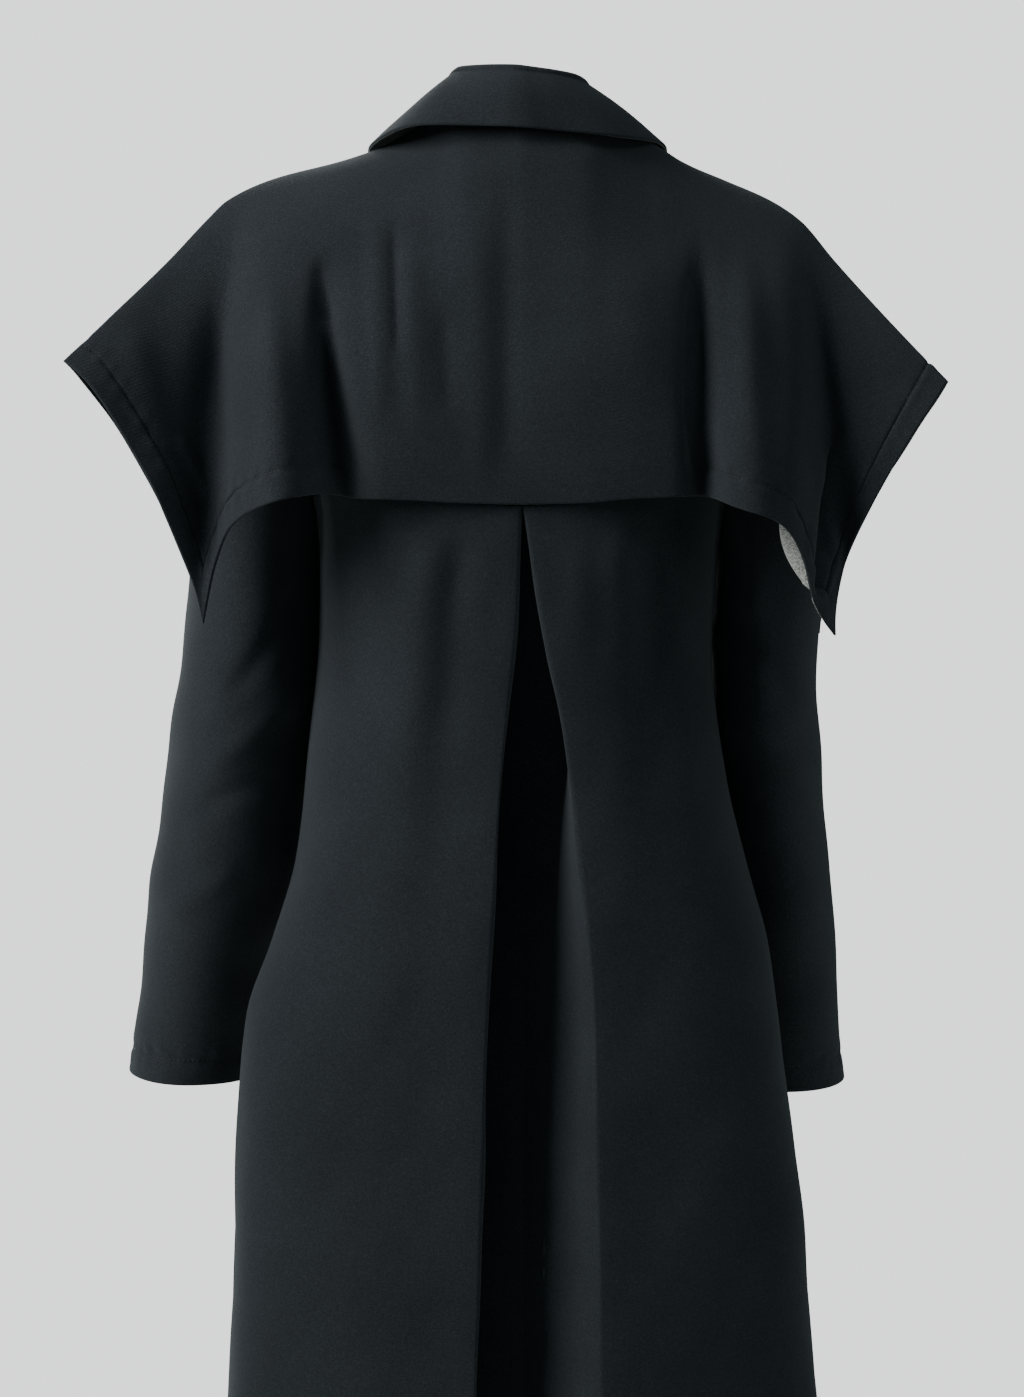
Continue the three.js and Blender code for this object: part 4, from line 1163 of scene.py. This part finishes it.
class CoatStage(bpy.types.PropertyGroup):
    backdrop: bpy.props.FloatVectorProperty(
        name="Backdrop", description="Colour of the surroundings", default=(0.67, 0.70, 0.68),
        min=0.0, max=1.0, size=3, subtype="COLOR")
    glow: bpy.props.FloatProperty(
        name="Backdrop glow", description="Brightness of the backdrop as it is seen", default=2.4,
        min=0.0)
    shade: bpy.props.FloatVectorProperty(
        name="Shade", description="Colour of the light from all round", default=(0.42, 0.68, 0.74),
        min=0.0, max=1.0, size=3, subtype="COLOR")
    ambient: bpy.props.FloatProperty(
        name="Ambient", description="Brightness of the light from all round", default=0.12, min=0.0)
    key: bpy.props.FloatProperty(
        name="Key light", description="Power of the large light on the left", default=69.0,
        min=0.0, unit="POWER")
    floor_height: bpy.props.FloatProperty(
        name="Floor", description="Height of the floor", default=-1.47, subtype="DISTANCE",
        unit="LENGTH")


def add_floor(stage):
    """A round floor: a fan of triangles in the middle and rings of quads round it."""
    turn = np.linspace(0, 2 * np.pi, FLOOR_SIDES, endpoint=False)
    radius = np.array(FLOOR_RINGS)[:, None] / MM
    disc = points(radius * np.cos(turn), radius * np.sin(turn), stage.floor_height / MM)
    ids = 1 + np.arange((len(FLOOR_RINGS) - 1) * FLOOR_SIDES).reshape(-1, FLOOR_SIDES)
    ids = np.concatenate([ids, ids[:, :1]], 1)
    fan = np.stack([0 * ids[0, :-1], ids[0, :-1], ids[0, 1:]], -1)
    quads = np.stack([ids[:-1, :-1], ids[1:, :-1], ids[1:, 1:], ids[:-1, 1:]], -1).reshape(-1, 4)
    mesh = bpy.data.meshes.new("floor")
    verts = np.concatenate([disc[:1, 0], disc[1:].reshape(-1, 3)]) * MM
    mesh.from_pydata(verts.tolist(), [], fan.tolist() + quads.tolist())
    mesh.materials.append(pale_floor(stage.backdrop))
    mesh.update()
    floor = bpy.data.objects.new("floor", mesh)
    bpy.context.scene.collection.objects.link(floor)


def add_backdrop(stage):
    """The surroundings: pale where the camera sees them, dimmer and cooler as light."""
    world = bpy.data.worlds.new("backdrop")
    world.use_nodes = True
    nodes, links = world.node_tree.nodes, world.node_tree.links
    seen, around = nodes["Background"], nodes.new("ShaderNodeBackground")
    looks = ((seen, stage.backdrop, stage.glow), (around, stage.shade, stage.ambient))
    for node, colour, strength in looks:
        node.inputs["Color"].default_value = (*colour, 1)
        node.inputs["Strength"].default_value = strength
    both, path = nodes.new("ShaderNodeMixShader"), nodes.new("ShaderNodeLightPath")
    links.new(path.outputs["Is Camera Ray"], both.inputs["Fac"])
    links.new(around.outputs["Background"], both.inputs[1])
    links.new(seen.outputs["Background"], both.inputs[2])
    links.new(both.outputs["Shader"], nodes["World Output"].inputs["Surface"])
    bpy.context.scene.world = world


def add_light(name, power, size, place, aim):
    light = bpy.data.lights.new(name, "AREA")
    light.energy = power
    light.shape = "RECTANGLE"
    light.size, light.size_y = size
    lamp = bpy.data.objects.new(name, light)
    lamp.location = place
    way = np.array(aim) - place
    down, turn = np.arctan2(np.hypot(way[0], way[1]), -way[2]), np.arctan2(-way[0], way[1])
    lamp.rotation_euler = (float(down), 0, float(turn))
    bpy.context.scene.collection.objects.link(lamp)


def add_camera():
    """The camera behind the coat, level and looking along -Y."""
    lens = bpy.data.cameras.new("camera")
    lens.sensor_fit = "VERTICAL"
    lens.sensor_height = CAMERA_SENSOR
    lens.lens = CAMERA_LENS
    camera = bpy.data.objects.new("camera", lens)
    camera.location = CAMERA_PLACE
    camera.rotation_euler = (np.pi / 2, 0, np.pi)
    bpy.context.scene.collection.objects.link(camera)
    bpy.context.scene.camera = camera


class StageOperator(bpy.types.Operator):
    """Makes the floor, the soft lights, the backdrop and the camera at the picture's angle"""
    bl_idname = "cape_coat.stage"
    bl_label = "Stage"

    def execute(self, context):
        stage = context.scene.coat_stage
        add_floor(stage)
        add_backdrop(stage)
        for name, (share, size, place, aim) in LIGHTS.items():
            add_light(name, share * stage.key, size, place, aim)
        add_camera()
        return {"FINISHED"}


class BackUpperOperator(bpy.types.Operator):
    """Makes the under layer of the back above the yoke seam"""
    bl_idname = "cape_coat.back_upper"
    bl_label = "Upper back"

    def execute(self, context):
        grid = back_upper_grid()
        soft = uneven(grid, 0.5, 90, 3) - 0.8
        hold = {"first": 12, "last": 10, "start": 12, "end": 12}
        piece = cloth("back_upper_cloth", grid, from_axis, soft, hold)[0]
        declare(piece, "back_upper")
        return {"FINISHED"}


class BackLowerOperator(bpy.types.Operator):
    """Makes the back below the yoke seam, with its pleat, gathers and hem"""
    bl_idname = "cape_coat.back_lower"
    bl_label = "Lower back"

    def execute(self, context):
        height, turned = cloth_settings(context)
        grid = back_lower_grid()
        soft = uneven(grid, height, 110, 11) + uneven(grid, 0.4 * height, 45, 12)
        hold = {"first": 10, "start": 10, "end": 10}
        piece, outer, way, far = cloth("back_lower_cloth", grid, from_axis, soft, hold, {"last": 1})
        sewn = stitches("back_hem_stitches", [sewn_line(outer, way, far, "last", turned)])
        declare(piece, "back_lower", sewn)
        return {"FINISHED"}


class FrontsOperator(bpy.types.Operator):
    """Makes the two fronts, the right one over the left"""
    bl_idname = "cape_coat.fronts"
    bl_label = "Fronts"

    def execute(self, context):
        height, turned = cloth_settings(context)
        for name, sign in (("front_left", 1), ("front_right", -1)):
            grid = front_grid(sign, sign < 0)
            soft = uneven(grid, 0.7 * height, 120, 21 + sign)
            soft = soft + creases(grid[..., 0], grid[..., 2], FRONT_CREASES)
            middle = smooth((np.abs(grid[..., 0]) - 40) / 50)
            hold = {"first": 14, "start": 12}
            piece, outer, way, far = cloth(
                name + "_cloth", grid, from_axis, soft * middle, hold, {"last": 1}
            )
            sewn = stitches(name + "_stitches", [sewn_line(outer, way, far, "last", turned)])
            declare(piece, name, sewn)
        return {"FINISHED"}


class SleevesOperator(bpy.types.Operator):
    """Makes the two sleeves with their elbow creases and turned-up cuffs"""
    bl_idname = "cape_coat.sleeves"
    bl_label = "Sleeves"

    def execute(self, context):
        height, turned = cloth_settings(context)
        sleeves = (("sleeve_left", 1, SLEEVE_LEFT), ("sleeve_right", -1, SLEEVE_RIGHT))
        for name, sign, rows in sleeves:
            grid = sleeve_grid(sign, rows)
            z = grid[..., 2]
            centre = points(read(rows, "z", "x", z), read(rows, "z", "y", z), z)
            soft = uneven(grid, 1.2 * height, 80, 31 + sign)
            behind = smooth(clamp((grid[..., 1] - centre[..., 1]) / 40 + 0.5))
            soft = soft + creases(grid[..., 0], grid[..., 2], SLEEVE_CREASES) * mix(-0.6, 1, behind)
            piece, outer, way, far = cloth(
                name + "_cloth", grid, lambda g: g - centre, soft, {"first": 25}, {"last": 1}, True
            )
            sewn = stitches(name + "_stitches", [sewn_line(outer, way, far, "last", turned)])
            declare(piece, name, sewn)
        return {"FINISHED"}


class CapeOperator(bpy.types.Operator):
    """Makes the cape's back and its two fronts, with their folds and hems"""
    bl_idname = "cape_coat.cape"
    bl_label = "Cape"

    def execute(self, context):
        height, turned = cloth_settings(context)
        down = edged(104, CAPE_DROP, at=(1 - turned / CAPE_DROP,))
        last = len(CAPE_BACK["seam"]) - 1
        wing = np.linspace(0, 2, 66)[:-1]
        at = np.concatenate([wing, np.linspace(2, last - 2, 200)[:-1], last - wing[::-1]])
        at = np.unique(np.concatenate([at, [0.01, 0.03, last - 0.03, last - 0.01, last]]))
        grid = cape_grid(CAPE_BACK, at, True, down)
        x, z = grid[..., 0], grid[..., 2]
        free = smooth((np.abs(grid[-1:, :, 0]) - YOKE_END) / 8)
        soft = uneven(grid, height, 70, 41) + creases(x, z, CAPE_BACK_CREASES)
        seam = np.interp(at, np.arange(last + 1.0), np.nan_to_num(CAPE_BACK["seam"]))
        soft = soft * (1 - clamp(1.6 * tucked(seam)) * smooth((-190 - z) / 40))
        piece, outer, way, far = cloth(
            "cape_back_cloth", grid, from_axis, soft, {"first": 30},
            {"last": free, "start": 1, "end": 1}, pale=tucked(seam) > TUCK_SHOWS,
        )
        sides = ("start", "end")
        sewn = stitches("cape_back_stitches", [
            sewn_line(outer, way, far, "last", turned, sides, lambda p: p[:, 0] > YOKE_END + 5),
            sewn_line(outer, way, far, "last", turned, sides, lambda p: p[:, 0] < -YOKE_END - 5),
            *(sewn_line(outer, way, far, side, turned, ("last",)) for side in sides),
        ])
        declare(piece, "cape_back", sewn)
        fronts = {"cape_front_left": CAPE_FRONT_LEFT, "cape_front_right": CAPE_FRONT_RIGHT}
        for name, rows in fronts.items():
            last = len(rows["seam"]) - 1
            hem = turned / CAPE_FRONT_WIDTH
            at = edged(100, CAPE_FRONT_WIDTH, at=(hem, 1 - hem)) * last
            down = edged(90, CAPE_FRONT_DROP, at=(1 - turned / CAPE_FRONT_DROP,))
            grid = cape_grid(rows, at, False, down)
            soft = uneven(grid, height, 80, 51)
            soft = soft + creases(grid[..., 0], grid[..., 2], CAPE_FRONT_CREASES)
            piece, outer, way, far = cloth(
                name + "_cloth", grid, from_axis, soft, {"first": 30},
                {"last": 1, "start": 1, "end": 1},
            )
            sewn = stitches(name + "_stitches", [
                sewn_line(outer, way, far, "last", turned, sides),
                *(sewn_line(outer, way, far, side, turned, ("last",)) for side in sides),
            ])
            declare(piece, name, sewn)
        return {"FINISHED"}


class CollarOperator(bpy.types.Operator):
    """Makes the turned-down collar"""
    bl_idname = "cape_coat.collar"
    bl_label = "Collar"

    def execute(self, context):
        grid = collar_grid()

        def fall_outwards(g):
            ways = points(g[..., 0], g[..., 1] + 10, 0)
            ways[:, :-12] = 0
            return ways

        soft = uneven(grid, 0.35, 60, 61)
        piece = cloth("collar_cloth", grid, fall_outwards, soft, {"start": 8, "end": 8})[0]
        declare(piece, "collar")
        return {"FINISHED"}


class ButtonsOperator(bpy.types.Operator):
    """Gives the buttons their horn finish"""
    bl_idname = "cape_coat.buttons"
    bl_label = "Buttons"

    def execute(self, context):
        for name in BUTTONS:
            node = bpy.data.objects[name]
            node.data.materials.clear()
            node.data.materials.append(horn())
        return {"FINISHED"}


OPERATORS = (
    BackUpperOperator,
    BackLowerOperator,
    FrontsOperator,
    SleevesOperator,
    CapeOperator,
    CollarOperator,
    ButtonsOperator,
    StageOperator,
)
GROUPS = {"coat_cloth": CoatCloth, "coat_buttons": CoatButtons, "coat_stage": CoatStage}


class CapeCoatPanel(bpy.types.Panel):
    """Sidebar panel with the coat's sizes, colours and making steps"""
    bl_idname = "VIEW3D_PT_cape_coat"
    bl_label = "Cape coat"
    bl_space_type = "VIEW_3D"
    bl_region_type = "UI"
    bl_category = "Cape coat"

    def draw(self, context):
        for name, group in GROUPS.items():
            box = self.layout.box()
            for field in group.__annotations__:
                box.prop(getattr(context.scene, name), field)
        for operator in OPERATORS:
            self.layout.operator(operator.bl_idname)


def register():
    for group in GROUPS.values():
        bpy.utils.register_class(group)
    for name, group in GROUPS.items():
        setattr(bpy.types.Scene, name, bpy.props.PointerProperty(type=group))
    for operator in OPERATORS:
        bpy.utils.register_class(operator)
    bpy.utils.register_class(CapeCoatPanel)


def unregister():
    bpy.utils.unregister_class(CapeCoatPanel)
    for operator in reversed(OPERATORS):
        bpy.utils.unregister_class(operator)
    for name, group in reversed(list(GROUPS.items())):
        delattr(bpy.types.Scene, name)
        bpy.utils.unregister_class(group)


def main():
    register()
    bpy.ops.cape_coat.back_upper()
    bpy.ops.cape_coat.back_lower()
    bpy.ops.cape_coat.fronts()
    bpy.ops.cape_coat.sleeves()
    bpy.ops.cape_coat.cape()
    bpy.ops.cape_coat.collar()
    bpy.ops.cape_coat.buttons()
    bpy.ops.cape_coat.stage()


if __name__ == "__main__":
    main()
